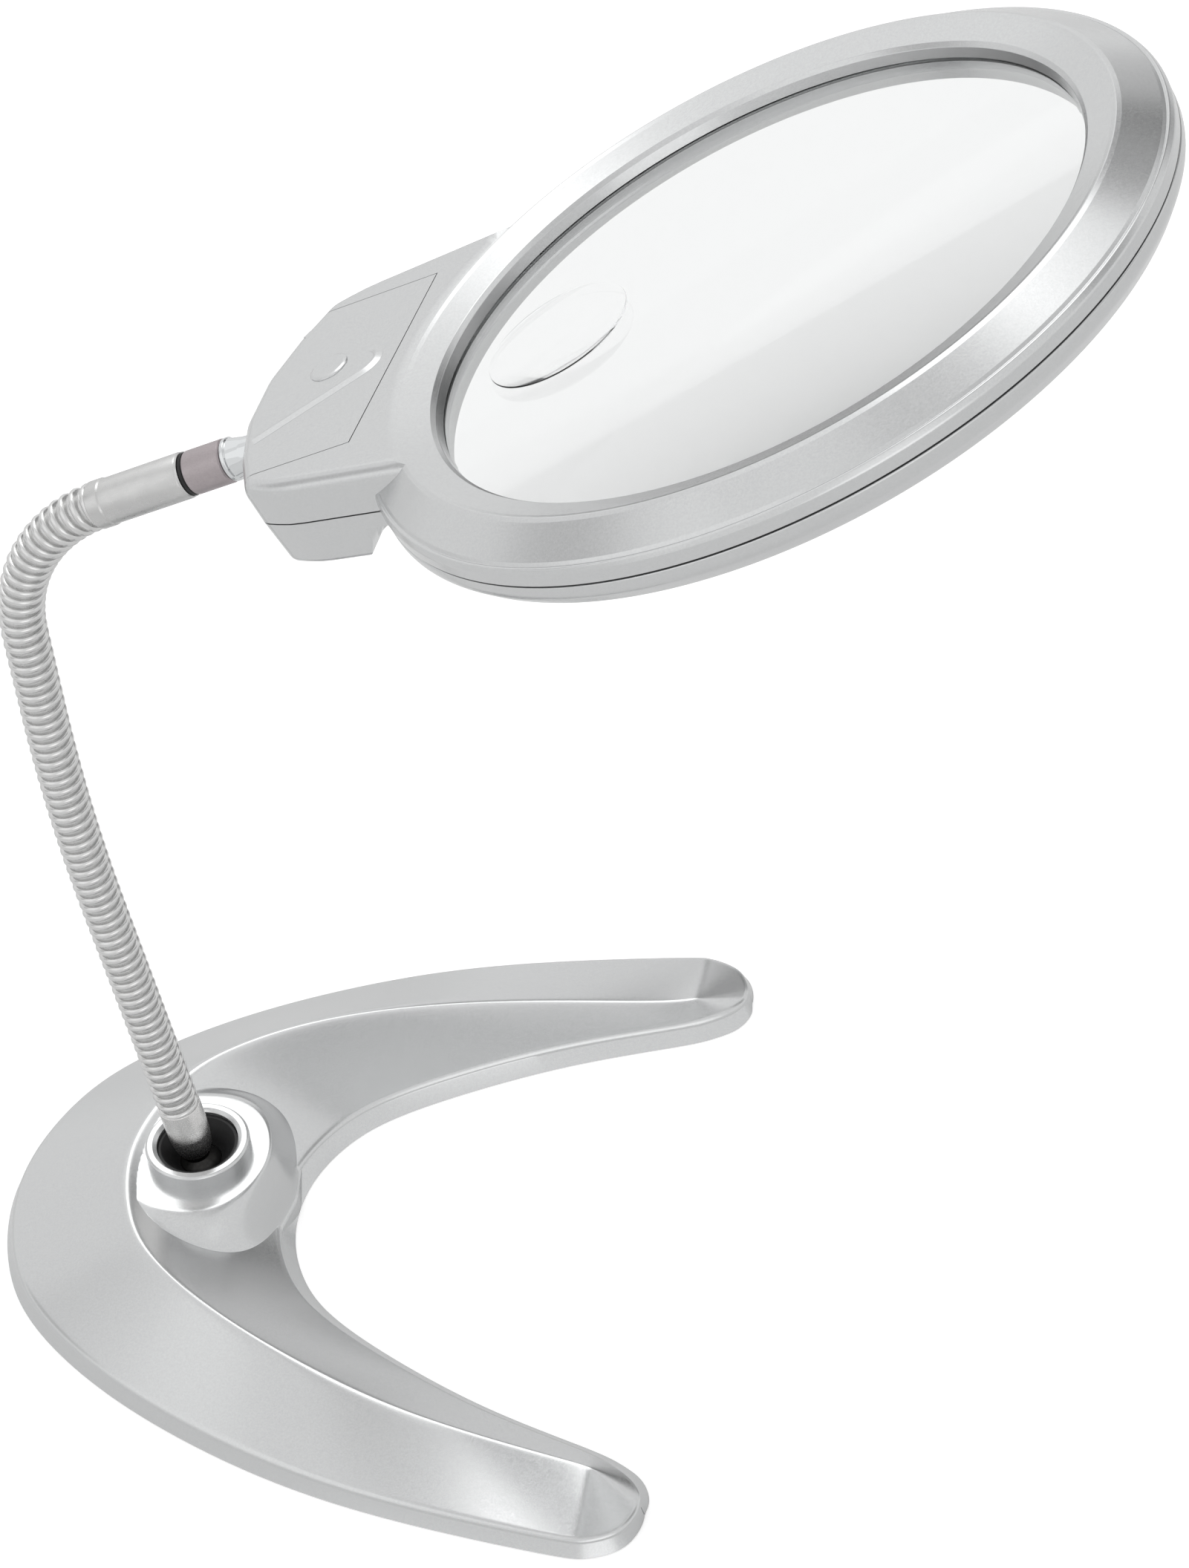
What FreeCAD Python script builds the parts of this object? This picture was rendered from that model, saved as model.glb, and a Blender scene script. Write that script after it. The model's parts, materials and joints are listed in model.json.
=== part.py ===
import FreeCAD, Part
import math
import os
import Sketcher
from types import SimpleNamespace
from FreeCAD import Placement, Rotation, Vector

# Stand magnifier: a round lens head on a wound gooseneck that pivots in a heavy crescent foot.
# X points from the neck socket to the open side of the crescent, Z is up, Y is the mirror axis.
# The origin is on the table under the middle of the neck socket. Lengths are in millimetres.

# Sizes of the object, each written once
SIZES = (
    # crescent foot
    ("BaseDepth", 162.0), ("BaseHalfWidth", 90.0), ("BaseBackReach", 47.0),
    ("CrestHeight", 18.2), ("LipTop", 3.9), ("FootThickness", 0.8), ("ShellWall", 2.4),
    ("CoverThickness", 1.6), ("CoverClearance", 0.2), ("WeightTop", 9.5), ("WeightInset", 5.0),
    ("WeightFront", 34.0), ("FootPadRadius", 4.5),
    ("PostRadius", 3.2), ("CoverScrewRadius", 1.25), ("CoverScrewLength", 4.4),
    ("CoverScrewHeadRadius", 2.4), ("CoverScrewHeadHeight", 0.8),
    # boss and collar on the foot
    ("BossHalfWidth", 25.0), ("BossHalfDepth", 21.4), ("BossTop", 17.2), ("CollarRadius", 12.0),
    ("CollarTop", 21.4), ("CollarBore", 9.3), ("CollarEdge", 0.7), ("BossCoreRadius", 16.0),
    ("BossUnderside", 5.0),
    # ball pivot in the collar
    ("SocketClearance", 0.05), ("SocketTop", 20.0), ("SocketFlangeRadius", 11.5),
    ("SocketFlangeHeight", 1.5), ("SocketMouthRadius", 7.0), ("PivotHeight", 11.5),
    ("BallRadius", 6.0), ("BallClearance", 0.08), ("SeatTop", 9.0),
    ("RetainerThickness", 1.4), ("RetainerRadius", 15.5), ("RetainerScrewCircle", 13.7),
    ("RetainerScrewRadius", 0.9), ("RetainerScrewHead", 1.7), ("RetainerHeadHeight", 0.9),
    ("RetainerScrewLength", 6.0),
    # stud of the ball, a round ended taper up to the wound neck
    ("StudRadius", 3.0), ("StudTaperStart", 8.6), ("StudTaperEnd", 15.0), ("StudTaperFoot", 3.3),
    ("FerruleRadius", 4.7),
    # gooseneck
    ("NeckStart", 17.0), ("NeckLean", 6.5), ("NeckStraight", 81.0), ("NeckSweepRadius", 500.0),
    ("NeckRise", 20.0), ("NeckBendRadius", 36.0), ("HeadTilt", 23.0),
    ("WireDiameter", 1.7), ("NeckOuterDiameter", 9.6), ("CoreClearance", 0.05),
    ("LinkGap", 0.3), ("FerruleStandoff", 1.1),
    # fittings between neck and head, measured from the end of the neck
    ("UpperFerruleEnd", 21.0), ("WasherThickness", 0.8), ("WasherRadius", 4.3),
    ("SleeveEnd", 30.5), ("SleeveRadius", 4.4), ("SwivelPinRadius", 2.5), ("SwivelPinLength", 8.0),
    ("SwivelClearance", 0.05), ("HousingStart", 36.9), ("ConeTipRadius", 3.4),
    ("StudBoltRadius", 2.5), ("StudBoltLength", 6.4), ("StudNutRadius", 4.4), ("StudNutLength", 2.4),
    # lens and its ring; a reach is taken from the rim of the lens, a height from the ring's middle
    ("NeckToLensReach", 79.4), ("LensDiameter", 130.0), ("LensEdge", 2.4), ("LensEdgeTop", 1.0),
    ("LensCrown", 5.0), ("LensRim", 1.8), ("LensGap", 0.1), ("LensLip", 1.6),
    ("RingCrestRadiusReach", 5.7), ("RingCrestHeight", 6.1), ("RingInnerHeight", 3.5),
    ("GrooveRadiusReach", 13.0), ("GrooveHeight", 1.3), ("RingRadiusReach", 14.4), ("SeamHeight", -2.3),
    ("SeamGap", 0.1), ("RingBottom", -9.0), ("RingWall", 2.0),
    ("SpotRadius", 14.5), ("SpotInset", 25.0), ("SpotCrown", 1.6), ("SpotClearance", 0.05),
    # housing behind the ring
    ("HousingBackReach", 42.5), ("HousingLap", 5.0), ("HousingTop", 6.5), ("HousingBottom", -13.0),
    ("HousingHalfWidth", 39.0), ("HousingTopRound", 2.6), ("HousingBottomRound", 3.0),
    ("BulgeFrontReach", 15.0), ("BulgeSlope", 8.0), ("HousingWall", 2.0),
    ("BayBackReach", 35.0), ("BayFrontReach", 2.5), ("BayHalfWidth", 24.5), ("BayShelf", 2.6),
    ("BayMouthHalfWidth", 22.5), ("BayMouthFrontReach", 10.0),
    ("DoorThickness", 1.6), ("DoorHalfWidth", 24.2), ("DoorFrontReach", 11.3), ("DoorClearance", 0.2),
    ("DoorFloorClearance", 0.05), ("RidgeWidth", 1.0), ("RidgeRise", 0.5), ("DotRadius", 4.0),
    ("DotBackReach", 27.0), ("DotOffset", 3.0), ("DotRise", 0.4),
    # cells and their contacts
    ("CellRadius", 5.25), ("CellLength", 44.5), ("CellPitch", 10.7), ("CellFrontReach", 8.0),
    ("CellHeight", -3.0), ("CellNubRadius", 1.9), ("CellNubLength", 0.8),
    ("PlateThickness", 0.4), ("PlateSize", 7.0), ("SpringRadius", 3.2), ("SpringTipRadius", 2.2),
    # lamps and switch
    ("LampRadius", 2.5), ("LampCircleReach", 7.3), ("LampAngle", 155.0), ("LampTop", -2.4),
    ("LampBottom", -9.6), ("LampClearance", 0.15), ("LampBoardThickness", 1.0),
    ("LampBoardLength", 7.0), ("LampBoardWidth", 6.0),
    ("SwitchBackReach", 27.0), ("SwitchWidth", 4.0), ("SwitchLength", 5.0), ("SwitchTravel", 4.0),
    ("SwitchRise", 1.3), ("SwitchClearance", 0.2), ("SwitchFlange", 0.8), ("SwitchFlangeLap", 1.5),
    # shell screws
    ("ShellScrewRadius", 1.2), ("ShellScrewHead", 2.1), ("ShellScrewHeadHeight", 1.2),
    ("ShellScrewTop", 4.0), ("ShellPostRadius", 3.0), ("ShellScrewBackXReach", 32.0),
    ("ShellScrewBackY", 27.9), ("ShellScrewFrontXReach", 11.0), ("ShellScrewFrontY", 30.0),
    ("ShellScrewRingAngle", 60.0), ("ShellScrewRingCircleReach", 7.3),
    # how far a cutting shape runs past the face that it cuts
    ("Overrun", 1.0),
)
LINKS = 8
TURNS_PER_LINK = 9
CELLS = 3

# Outline of the foot, from the back round the far tip: shares of its depth and half width
OUTLINE_SHARES = (
    (0.000, 0.000), (0.014, 0.177), (0.054, 0.338), (0.114, 0.474), (0.185, 0.582),
    (0.259, 0.667), (0.333, 0.738), (0.409, 0.800), (0.487, 0.853), (0.570, 0.899),
    (0.662, 0.937), (0.766, 0.968), (0.870, 0.994), (0.940, 0.985), (0.984, 0.937),
    (1.000, 0.870), (0.985, 0.800), (0.948, 0.744), (0.893, 0.703), (0.800, 0.644),
    (0.681, 0.553), (0.543, 0.414), (0.458, 0.280), (0.418, 0.144), (0.405, 0.000),
)
# Stations of the ridged top: outer edge, crest and inner edge as shares, crest height share
ROOF_SHARES = (
    ((0.000, 0.000), (0.193, 0.000), (0.405, 0.000), 1.000),
    ((0.034, 0.272), (0.223, 0.228), (0.418, 0.144), 0.989),
    ((0.114, 0.474), (0.281, 0.369), (0.458, 0.280), 0.962),
    ((0.259, 0.667), (0.378, 0.496), (0.510, 0.365), 0.890),
    ((0.455, 0.833), (0.510, 0.611), (0.606, 0.483), 0.742),
    ((0.662, 0.937), (0.673, 0.704), (0.735, 0.600), 0.538),
    ((0.889, 0.994), (0.858, 0.763), (0.889, 0.705), 0.374),
    ((1.060, 1.020), (1.060, 0.790), (1.060, 0.715), 0.250),
)
ROOF_REACH_SHARE = 1.18
# Boss: share of the half widths at each share of its height
BOSS_SHARES = (
    (1.00, 0.00), (0.985, 0.30), (0.935, 0.58), (0.850, 0.78), (0.735, 0.895), (0.600, 0.965),
)
# Screws of the cover and pads under it, as shares of depth and half width
COVER_SCREW_SHARES = ((0.086, 0.0), (0.321, 0.578), (0.321, -0.578), (0.670, 0.790), (0.670, -0.790))
PAD_SHARES = ((0.140, 0.320), (0.140, -0.320), (0.520, 0.780), (0.520, -0.780), (0.905, 0.860),
    (0.905, -0.860))
# Plan of the housing: share of the way from front to back and of its half width
HOUSING_SHARES = (
    (0.00, 1.00), (0.72, 0.855), (0.85, 0.795), (0.955, 0.50), (1.00, 0.24),
)
# Ridge on the battery door, as shares of the door's length from its front and half width
RIDGE_SHARES = ((0.05, 0.09), (0.10, 0.26), (0.24, 0.42), (0.48, 0.54), (0.86, 0.62))


class Size:
    """A length that keeps its formula over the sheet together with its value."""

    def __init__(self, text, value):
        self.text = text
        self.value = float(value)

    def join(self, sign, other, value, swapped=False):
        pair = (self.text, text_of(other))
        if swapped:
            pair = (pair[1], pair[0])
        return Size("(%s %s %s)" % (pair[0], sign, pair[1]), value)

    def __add__(self, other):
        return self.join("+", other, self.value + value_of(other))

    def __radd__(self, other):
        return self.join("+", other, value_of(other) + self.value, True)

    def __sub__(self, other):
        return self.join("-", other, self.value - value_of(other))

    def __rsub__(self, other):
        return self.join("-", other, value_of(other) - self.value, True)

    def __mul__(self, other):
        return self.join("*", other, self.value * value_of(other))

    def __rmul__(self, other):
        return self.join("*", other, value_of(other) * self.value, True)

    def __truediv__(self, other):
        return self.join("/", other, self.value / value_of(other))

    def __neg__(self):
        return Size("(-1 * %s)" % self.text, -self.value)


def value_of(size):
    return size.value if isinstance(size, Size) else float(size)


def text_of(size):
    return size.text if isinstance(size, Size) else repr(float(size))


def root_of(size):
    return Size("sqrt(%s)" % size.text, math.sqrt(size.value))


def cosine(angle):
    return Size("cos(%s * 1 deg)" % angle.text, math.cos(math.radians(angle.value)))


def sine(angle):
    return Size("sin(%s * 1 deg)" % angle.text, math.sin(math.radians(angle.value)))


document = FreeCAD.newDocument("stand_magnifier")
sheet = document.addObject("Spreadsheet::Sheet", "Sizes")
for row, (alias, number) in enumerate(SIZES, start=1):
    sheet.set("A%d" % row, alias)
    sheet.set("B%d" % row, repr(number))
    sheet.setAlias("B%d" % row, alias)
document.recompute()
w = SimpleNamespace()
for alias, number in SIZES:
    setattr(w, alias, Size("Sizes." + alias, sheet.get(alias)))

# Radii and stations of the head, each set out from the rim of the lens
lens_radius = w.LensDiameter / 2
for alias, number in SIZES:
    if alias.endswith("Reach") and alias != "BaseBackReach":
        setattr(w, alias[:-len("Reach")], lens_radius + getattr(w, alias))
w.ApertureRadius = lens_radius - w.LensLip
w.HousingFront = lens_radius - w.HousingLap
w.SpotOffset = lens_radius - w.SpotInset

nodes = []


def keep(item, label, placement=None):
    """Registers a finished sub-part under its own label."""
    item.Label = label
    if placement is not None:
        item.Placement = placement
    nodes.append(item)
    return item


# Helpers for sketches, turned and padded bodies, primitives and booleans

def bind(item, prop, size):
    if isinstance(size, Size):
        item.setExpression(prop, size.text)


def sketch_polygon(body, name, plane_role, points, lift=0):
    plane = [f for f in body.Origin.OriginFeatures if f.Role == plane_role][0]
    sketch = body.newObject("Sketcher::SketchObject", name)
    sketch.AttachmentSupport = [(plane, "")]
    sketch.MapMode = "FlatFace"
    if isinstance(lift, Size):
        sketch.AttachmentOffset = Placement(Vector(0, 0, lift.value), Rotation())
        bind(sketch, "AttachmentOffset.Base.z", lift)
    corners = [Vector(value_of(x), value_of(y), 0) for x, y in points]
    count = len(corners)
    for i in range(count):
        sketch.addGeometry(Part.LineSegment(corners[i], corners[(i + 1) % count]), False)
    for i in range(count):
        sketch.addConstraint(Sketcher.Constraint("Coincident", i, 2, (i + 1) % count, 1))
    for i, (x, y) in enumerate(points):
        for kind, size, axis in (("DistanceX", x, -2), ("DistanceY", y, -1)):
            if value_of(size) == 0:
                sketch.addConstraint(Sketcher.Constraint("PointOnObject", i, 1, axis))
                continue
            made = sketch.addConstraint(Sketcher.Constraint(kind, -1, 1, i, 1, value_of(size)))
            bind(sketch, "Constraints[%d]" % made, size)
    return sketch


def turned(name, profile):
    """A body turned about Z from corners given as radius and height."""
    body = document.addObject("PartDesign::Body", name)
    sketch = sketch_polygon(body, name + "_profile", "XZ_Plane", profile)
    feature = body.newObject("PartDesign::Revolution", name + "_turn")
    feature.Profile = sketch
    feature.ReferenceAxis = (sketch, ["V_Axis"])
    feature.Angle = 360
    return body


def padded(name, outline, bottom, height):
    """A body padded up from a polygon in plan."""
    body = document.addObject("PartDesign::Body", name)
    sketch = sketch_polygon(body, name + "_outline", "XY_Plane", outline, bottom)
    feature = body.newObject("PartDesign::Pad", name + "_pad")
    feature.Profile = sketch
    feature.Length = value_of(height)
    bind(feature, "Length", height)
    return body


def place(item, at, rotation=None):
    item.Placement = Placement(Vector(*[value_of(c) for c in at]), rotation or Rotation())
    for axis, size in zip("xyz", at):
        bind(item, "Placement.Base." + axis, size)
    return item


def cylinder(name, radius, height, at=(0, 0, 0), rotation=None):
    item = document.addObject("Part::Cylinder", name)
    item.Radius, item.Height = value_of(radius), value_of(height)
    bind(item, "Radius", radius)
    bind(item, "Height", height)
    return place(item, at, rotation)


def cone(name, foot, tip, height, at=(0, 0, 0), rotation=None):
    item = document.addObject("Part::Cone", name)
    item.Radius1, item.Radius2, item.Height = value_of(foot), value_of(tip), value_of(height)
    bind(item, "Radius1", foot)
    bind(item, "Radius2", tip)
    bind(item, "Height", height)
    return place(item, at, rotation)


def sphere(name, radius, at=(0, 0, 0)):
    item = document.addObject("Part::Sphere", name)
    item.Radius = value_of(radius)
    bind(item, "Radius", radius)
    return place(item, at)


def block(name, low, high):
    """A box from its low corner to its high corner."""
    item = document.addObject("Part::Box", name)
    for prop, a, b in zip(("Length", "Width", "Height"), low, high):
        span = b - a
        setattr(item, prop, value_of(span))
        bind(item, prop, span)
    return place(item, low)


def fused(name, items):
    item = document.addObject("Part::MultiFuse", name)
    item.Shapes = items
    return item


def grouped(name, items):
    item = document.addObject("Part::Compound", name)
    item.Links = items
    return item


def cut(name, base, tools):
    item = document.addObject("Part::Cut", name)
    item.Base = base
    item.Tool = tools[0] if len(tools) == 1 else fused(name + "_tools", tools)
    return item


def common(name, items):
    item = document.addObject("Part::MultiCommon", name)
    item.Shapes = items
    return item


def shaped(name, shape):
    """A free form that no primitive describes."""
    item = document.addObject("Part::Feature", name)
    item.Shape = shape
    return item


# Crescent foot

def foot_point(share_x, share_y):
    x = share_x * w.BaseDepth - w.BaseBackReach
    y = share_y * w.BaseHalfWidth
    return x, y


def crescent(name, inset, bottom, top):
    """The plan of the foot, drawn in by an inset and raised between two heights."""
    half = [[value_of(c) for c in foot_point(*share)] for share in OUTLINE_SHARES]
    ring = half + [[x, -y] for x, y in reversed(half[1:-1])]
    count = len(ring)
    points = []
    for i in range(count):
        along = Vector(ring[(i + 1) % count][0] - ring[i - 1][0],
            ring[(i + 1) % count][1] - ring[i - 1][1], 0)
        along.normalize()
        inward = Vector(along.y, -along.x, 0)
        points.append(Vector(ring[i][0], ring[i][1], value_of(bottom)) + inward * value_of(inset))
    curve = Part.BSplineCurve()
    curve.interpolate(Points=points, PeriodicFlag=True)
    face = Part.Face(Part.Wire(curve.toShape()))
    return shaped(name, face.extrude(Vector(0, 0, value_of(top) - value_of(bottom))))


def roof(name, drop):
    """The ridged top of the foot as a loft over its stations, lowered by a drop."""
    wires = []
    sides = [(s, -1) for s in reversed(ROOF_SHARES[1:])] + [(s, 1) for s in ROOF_SHARES]
    low = -value_of(w.ShellWall + w.Overrun)
    for (outer, crest, inner, height_share), side in sides:
        ox, oy = [value_of(c) for c in foot_point(*outer)]
        cx, cy = [value_of(c) for c in foot_point(*crest)]
        ix, iy = [value_of(c) for c in foot_point(*inner)]
        top = value_of(height_share * w.CrestHeight)
        lip = value_of(w.LipTop)
        crown = Vector(cx, cy * side, top)
        corners = []
        for x, y in ((ox, oy), (ix, iy)):
            edge = crown + (Vector(x, y * side, lip) - crown) * ROOF_REACH_SHARE
            corners.append(edge)
        corners = [Vector(corners[0].x, corners[0].y, low), corners[0], crown, corners[1],
                   Vector(corners[1].x, corners[1].y, low)]
        wires.append(Part.makePolygon(corners + [corners[0]]))
    solid = Part.makeLoft(wires, True, False)
    solid.translate(Vector(0, 0, -value_of(drop)))
    return shaped(name, solid)


def boss_dome():
    wires = []
    bottom = value_of(w.FootThickness)
    for width_share, height_share in BOSS_SHARES:
        z = bottom + height_share * (value_of(w.BossTop) - bottom)
        major = width_share * value_of(w.BossHalfWidth)
        minor = width_share * value_of(w.BossHalfDepth)
        oval = Part.Ellipse(Vector(0, 0, 0), major, minor).toShape()
        oval.rotate(Vector(0, 0, 0), Vector(0, 0, 1), 90)
        oval.translate(Vector(0, 0, z))
        wires.append(Part.Wire(oval))
    seat = Part.makeCircle(value_of(w.CollarRadius - w.CollarEdge), Vector(0, 0, value_of(w.BossTop)))
    seat.rotate(Vector(0, 0, 0), Vector(0, 0, 1), 90)
    wires.append(Part.Wire(seat))
    return shaped("boss_dome", Part.makeLoft(wires, True, False))


cover_top = w.FootThickness + w.CoverThickness
retainer_bottom = w.BossUnderside - w.RetainerThickness
flange_room = w.SocketFlangeHeight + 2 * w.SocketClearance
screw_spots = [foot_point(*share) for share in COVER_SCREW_SHARES]
pad_spots = [(0, 0)] + [foot_point(*share) for share in PAD_SHARES]
THREE_WAYS = [(Rotation(Vector(0, 0, 1), 120 * i), math.radians(120 * i)) for i in range(3)]
retainer_spots = [(w.RetainerScrewCircle * math.cos(a), w.RetainerScrewCircle * math.sin(a)) for _,
    a in THREE_WAYS]


def build_base():
    solid = common("foot_solid", [crescent("foot_plan", 0, w.FootThickness, w.CollarTop),
        roof("foot_roof", 0)])
    collar = turned("collar", [
        (0, w.BossUnderside), (w.CollarRadius, w.BossUnderside), (w.CollarRadius, w.BossTop),
        (w.CollarRadius - w.CollarEdge / 2, w.BossTop + w.CollarEdge),
        (w.CollarRadius - w.CollarEdge / 2, w.CollarTop - w.CollarEdge),
        (w.CollarRadius - w.CollarEdge * 1.5, w.CollarTop), (0, w.CollarTop)])
    mass = fused("foot_mass", [solid, boss_dome(), collar])
    room = common("foot_room", [crescent("foot_room_plan", w.ShellWall, 0, w.CollarTop),
        roof("foot_room_roof", w.ShellWall)])
    posts = [cylinder("post_%d" % i, w.PostRadius, w.CollarTop, (x, y, cover_top)) for i,
        (x, y) in enumerate(screw_spots)]
    posts.append(cylinder("boss_core", w.BossCoreRadius, w.CollarTop, (0, 0, w.BossUnderside)))
    hollow = cut("foot_hollow", room, posts)
    bores = [
        crescent("cover_recess", w.ShellWall, 0, cover_top),
        cylinder("collar_bore", w.CollarBore, w.CollarTop, (0, 0, w.FootThickness + w.CoverThickness)),
        cylinder("boss_room", w.BossCoreRadius, w.BossUnderside, (0, 0, 0)),
        cylinder("flange_bore", w.SocketFlangeRadius + w.LinkGap, flange_room + w.Overrun,
            (0, 0, w.BossUnderside - w.Overrun)),
    ]
    for i, (x, y) in enumerate(screw_spots):
        bores.append(cylinder("post_hole_%d" % i, w.CoverScrewRadius, w.CoverScrewLength,
            (x, y, w.FootThickness + w.CoverScrewHeadHeight)))
    for i, (x, y) in enumerate(retainer_spots):
        bores.append(cylinder("boss_hole_%d" % i, w.RetainerScrewRadius, w.RetainerScrewLength,
            (x, y, retainer_bottom)))
    keep(cut("base_shell_cut", mass, [hollow] + bores), "base_shell")

    plate = crescent("cover_plan", w.ShellWall + w.CoverClearance, w.FootThickness, cover_top)
    sinks = []
    for i, (x, y) in enumerate(screw_spots):
        sinks.append(cylinder("sink_%d" % i, w.CoverScrewHeadRadius + w.CoverClearance,
            w.CoverScrewHeadHeight + w.Overrun, (x, y, w.FootThickness - w.Overrun)))
        sinks.append(cylinder("sink_hole_%d" % i, w.CoverScrewRadius + w.CoverClearance,
            w.CoverThickness + w.Overrun, (x, y, w.FootThickness)))
    keep(cut("base_cover_cut", plate, sinks), "base_cover")

    slab = common("weight_slab", [
        crescent("weight_plan", w.WeightInset, cover_top, w.WeightTop),
        roof("weight_roof", w.ShellWall * 1.5),
        block("weight_span", (-w.BaseBackReach, -w.BaseHalfWidth, cover_top),
            (w.WeightFront, w.BaseHalfWidth, w.WeightTop))])
    gaps = [cylinder("weight_gap_%d" % i, w.PostRadius + w.CoverClearance * 2, w.WeightTop,
        (x, y, w.FootThickness)) for i, (x, y) in enumerate(screw_spots)]
    gaps.append(cylinder("weight_core_gap", w.BossCoreRadius + w.CoverClearance * 2, w.WeightTop,
        (0, 0, w.FootThickness)))
    keep(cut("base_weight_cut", slab, gaps), "base_weight")

    pads = [cylinder("pad_%d" % i, w.FootPadRadius, w.FootThickness, (x, y, 0)) for i,
        (x, y) in enumerate(pad_spots)]
    keep(grouped("pads", pads), "foot_pads")

    screws = []
    for i, (x, y) in enumerate(screw_spots):
        head = cylinder("cover_head_%d" % i, w.CoverScrewHeadRadius, w.CoverScrewHeadHeight,
            (x, y, w.FootThickness))
        shank = cylinder("cover_shank_%d" % i, w.CoverScrewRadius, w.CoverScrewLength,
            (x, y, w.FootThickness + w.CoverScrewHeadHeight))
        drive = block("cover_drive_%d" % i, (x - w.CoverScrewHeadRadius, y - w.CoverClearance,
            w.FootThickness), (x + w.CoverScrewHeadRadius, y + w.CoverClearance, w.FootThickness + w.CoverScrewHeadHeight / 2))
        screws.append(cut("cover_screw_%d" % i, fused("cover_screw_body_%d" % i, [head, shank]), [drive]))
    keep(grouped("cover_screw_set", screws), "cover_screws")


# Ball pivot: a black socket that turns in the collar, with the ball of the neck in it

def build_pivot():
    inner = w.BallRadius + w.BallClearance
    throat = w.PivotHeight + inner * 0.62
    throat_radius = root_of(inner * inner - (throat - w.PivotHeight) * (throat - w.PivotHeight))
    bottom = w.BossUnderside + w.SocketClearance
    outer = w.CollarBore - w.SocketClearance
    body = turned("socket_body", [
        (0, bottom), (w.SocketFlangeRadius, bottom), (w.SocketFlangeRadius, bottom + w.SocketFlangeHeight),
        (outer, bottom + w.SocketFlangeHeight), (outer, w.SocketTop), (0, w.SocketTop)])
    mouth = cone("socket_mouth", throat_radius, w.SocketMouthRadius, w.SocketTop - throat, (0, 0, throat))
    cavity = sphere("socket_cavity", inner, (0, 0, w.PivotHeight))
    well = cylinder("socket_well", inner, w.PivotHeight, (0, 0, 0))
    keep(cut("pivot_socket_cut", body, [mouth, cavity, well]), "pivot_socket")

    seat = cylinder("seat_body", w.BallRadius, w.SeatTop - bottom, (0, 0, bottom))
    keep(cut("ball_seat_cut", seat, [sphere("seat_cup", inner, (0, 0, w.PivotHeight))]), "ball_seat")

    plate = cylinder("retainer_body", w.RetainerRadius, w.RetainerThickness, (0, 0, retainer_bottom))
    holes = [cylinder("retainer_hole_%d" % i, w.RetainerScrewRadius + w.SocketClearance,
        w.RetainerThickness + 2 * w.Overrun, (x, y,
        retainer_bottom - w.Overrun)) for i, (x, y) in enumerate(retainer_spots)]
    keep(cut("retainer_plate_cut", plate, holes), "retainer_plate")

    screws = []
    for i, (x, y) in enumerate(retainer_spots):
        head = cylinder("retainer_head_%d" % i, w.RetainerScrewHead, w.RetainerHeadHeight,
            (x, y, retainer_bottom - w.RetainerHeadHeight))
        shank = cylinder("retainer_shank_%d" % i, w.RetainerScrewRadius, w.RetainerScrewLength,
            (x, y, retainer_bottom))
        screws.append(fused("retainer_screw_%d" % i, [head, shank]))
    keep(grouped("retainer_screw_set", screws), "retainer_screws")


# Gooseneck: its middle line runs from the ball centre in the plane y = 0

core_radius = (w.NeckOuterDiameter / 2 - w.WireDiameter) - w.CoreClearance


def neck_runs():
    """Stretches of the middle line as length and radius; a zero radius is straight."""
    lean = math.radians(w.NeckLean.value)
    bend = math.radians(90 - w.HeadTilt.value)
    return [
        (w.NeckStraight.value, 0),
        (w.NeckSweepRadius.value * lean, w.NeckSweepRadius.value),
        (w.NeckRise.value, 0),
        (w.NeckBendRadius.value * bend, w.NeckBendRadius.value),
    ]


def neck_frame(distance):
    """Point, tangent and forward normal of the middle line at a distance along it."""
    point = Vector(0, 0, w.PivotHeight.value)
    heading = math.radians(90 + w.NeckLean.value)
    left = distance
    runs = neck_runs()
    for index, (length, radius) in enumerate(runs):
        step = left if index == len(runs) - 1 else min(left, length)
        along = Vector(math.cos(heading), 0, math.sin(heading))
        right = Vector(math.sin(heading), 0, -math.cos(heading))
        if radius:
            turn = step / radius
            point = point + right * (radius * (1 - math.cos(turn))) + along * (radius * math.sin(turn))
            heading -= turn
        else:
            point = point + along * step
        left -= step
        if left <= 0:
            break
    along = Vector(math.cos(heading), 0, math.sin(heading))
    right = Vector(math.sin(heading), 0, -math.cos(heading))
    return point, along, right


neck_length = sum(length for length, _ in neck_runs())
link_length = (neck_length - w.NeckStart.value) / LINKS
pitch = link_length / TURNS_PER_LINK
hinge_distances = [w.NeckStart.value + i * link_length for i in range(LINKS + 1)]


def along_neck(distance):
    """Placement whose Z axis follows the neck at a distance from the ball."""
    point, along, right = neck_frame(distance)
    side = along.cross(right)
    return Placement(point, Rotation(right, side, along, "ZXY"))


def tube_path(start, end):
    """The middle line between two distances as lines and tangent arcs."""
    marks = [start]
    total = 0
    for length, _ in neck_runs():
        total += length
        if start < total < end:
            marks.append(total)
    marks.append(end)
    edges = []
    for a, b in zip(marks, marks[1:]):
        first, middle, last = [neck_frame(d)[0] for d in (a, (a + b) / 2, b)]
        bow = (middle - (first + last) * 0.5).Length
        if bow < (last - first).Length / 10000:
            edges.append(Part.LineSegment(first, last).toShape())
        else:
            edges.append(Part.Arc(first, middle, last).toShape())
    return Part.Wire(edges)


def core_solid(start, end):
    """The core of one link, round at its upper end and cupped at its lower end."""
    radius = core_radius.value
    point, along, _ = neck_frame(start)
    circle = Part.Wire(Part.makeCircle(radius, point, along))
    tube = tube_path(start, end).makePipeShell([circle], True, False)
    head = Part.makeSphere(radius, neck_frame(end)[0])
    cup = Part.makeSphere(radius + w.LinkGap.value, point)
    solid = tube.fuse(head).removeSplitter().cut(cup)
    return solid.Solids[0] if len(solid.Solids) == 1 else solid


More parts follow.
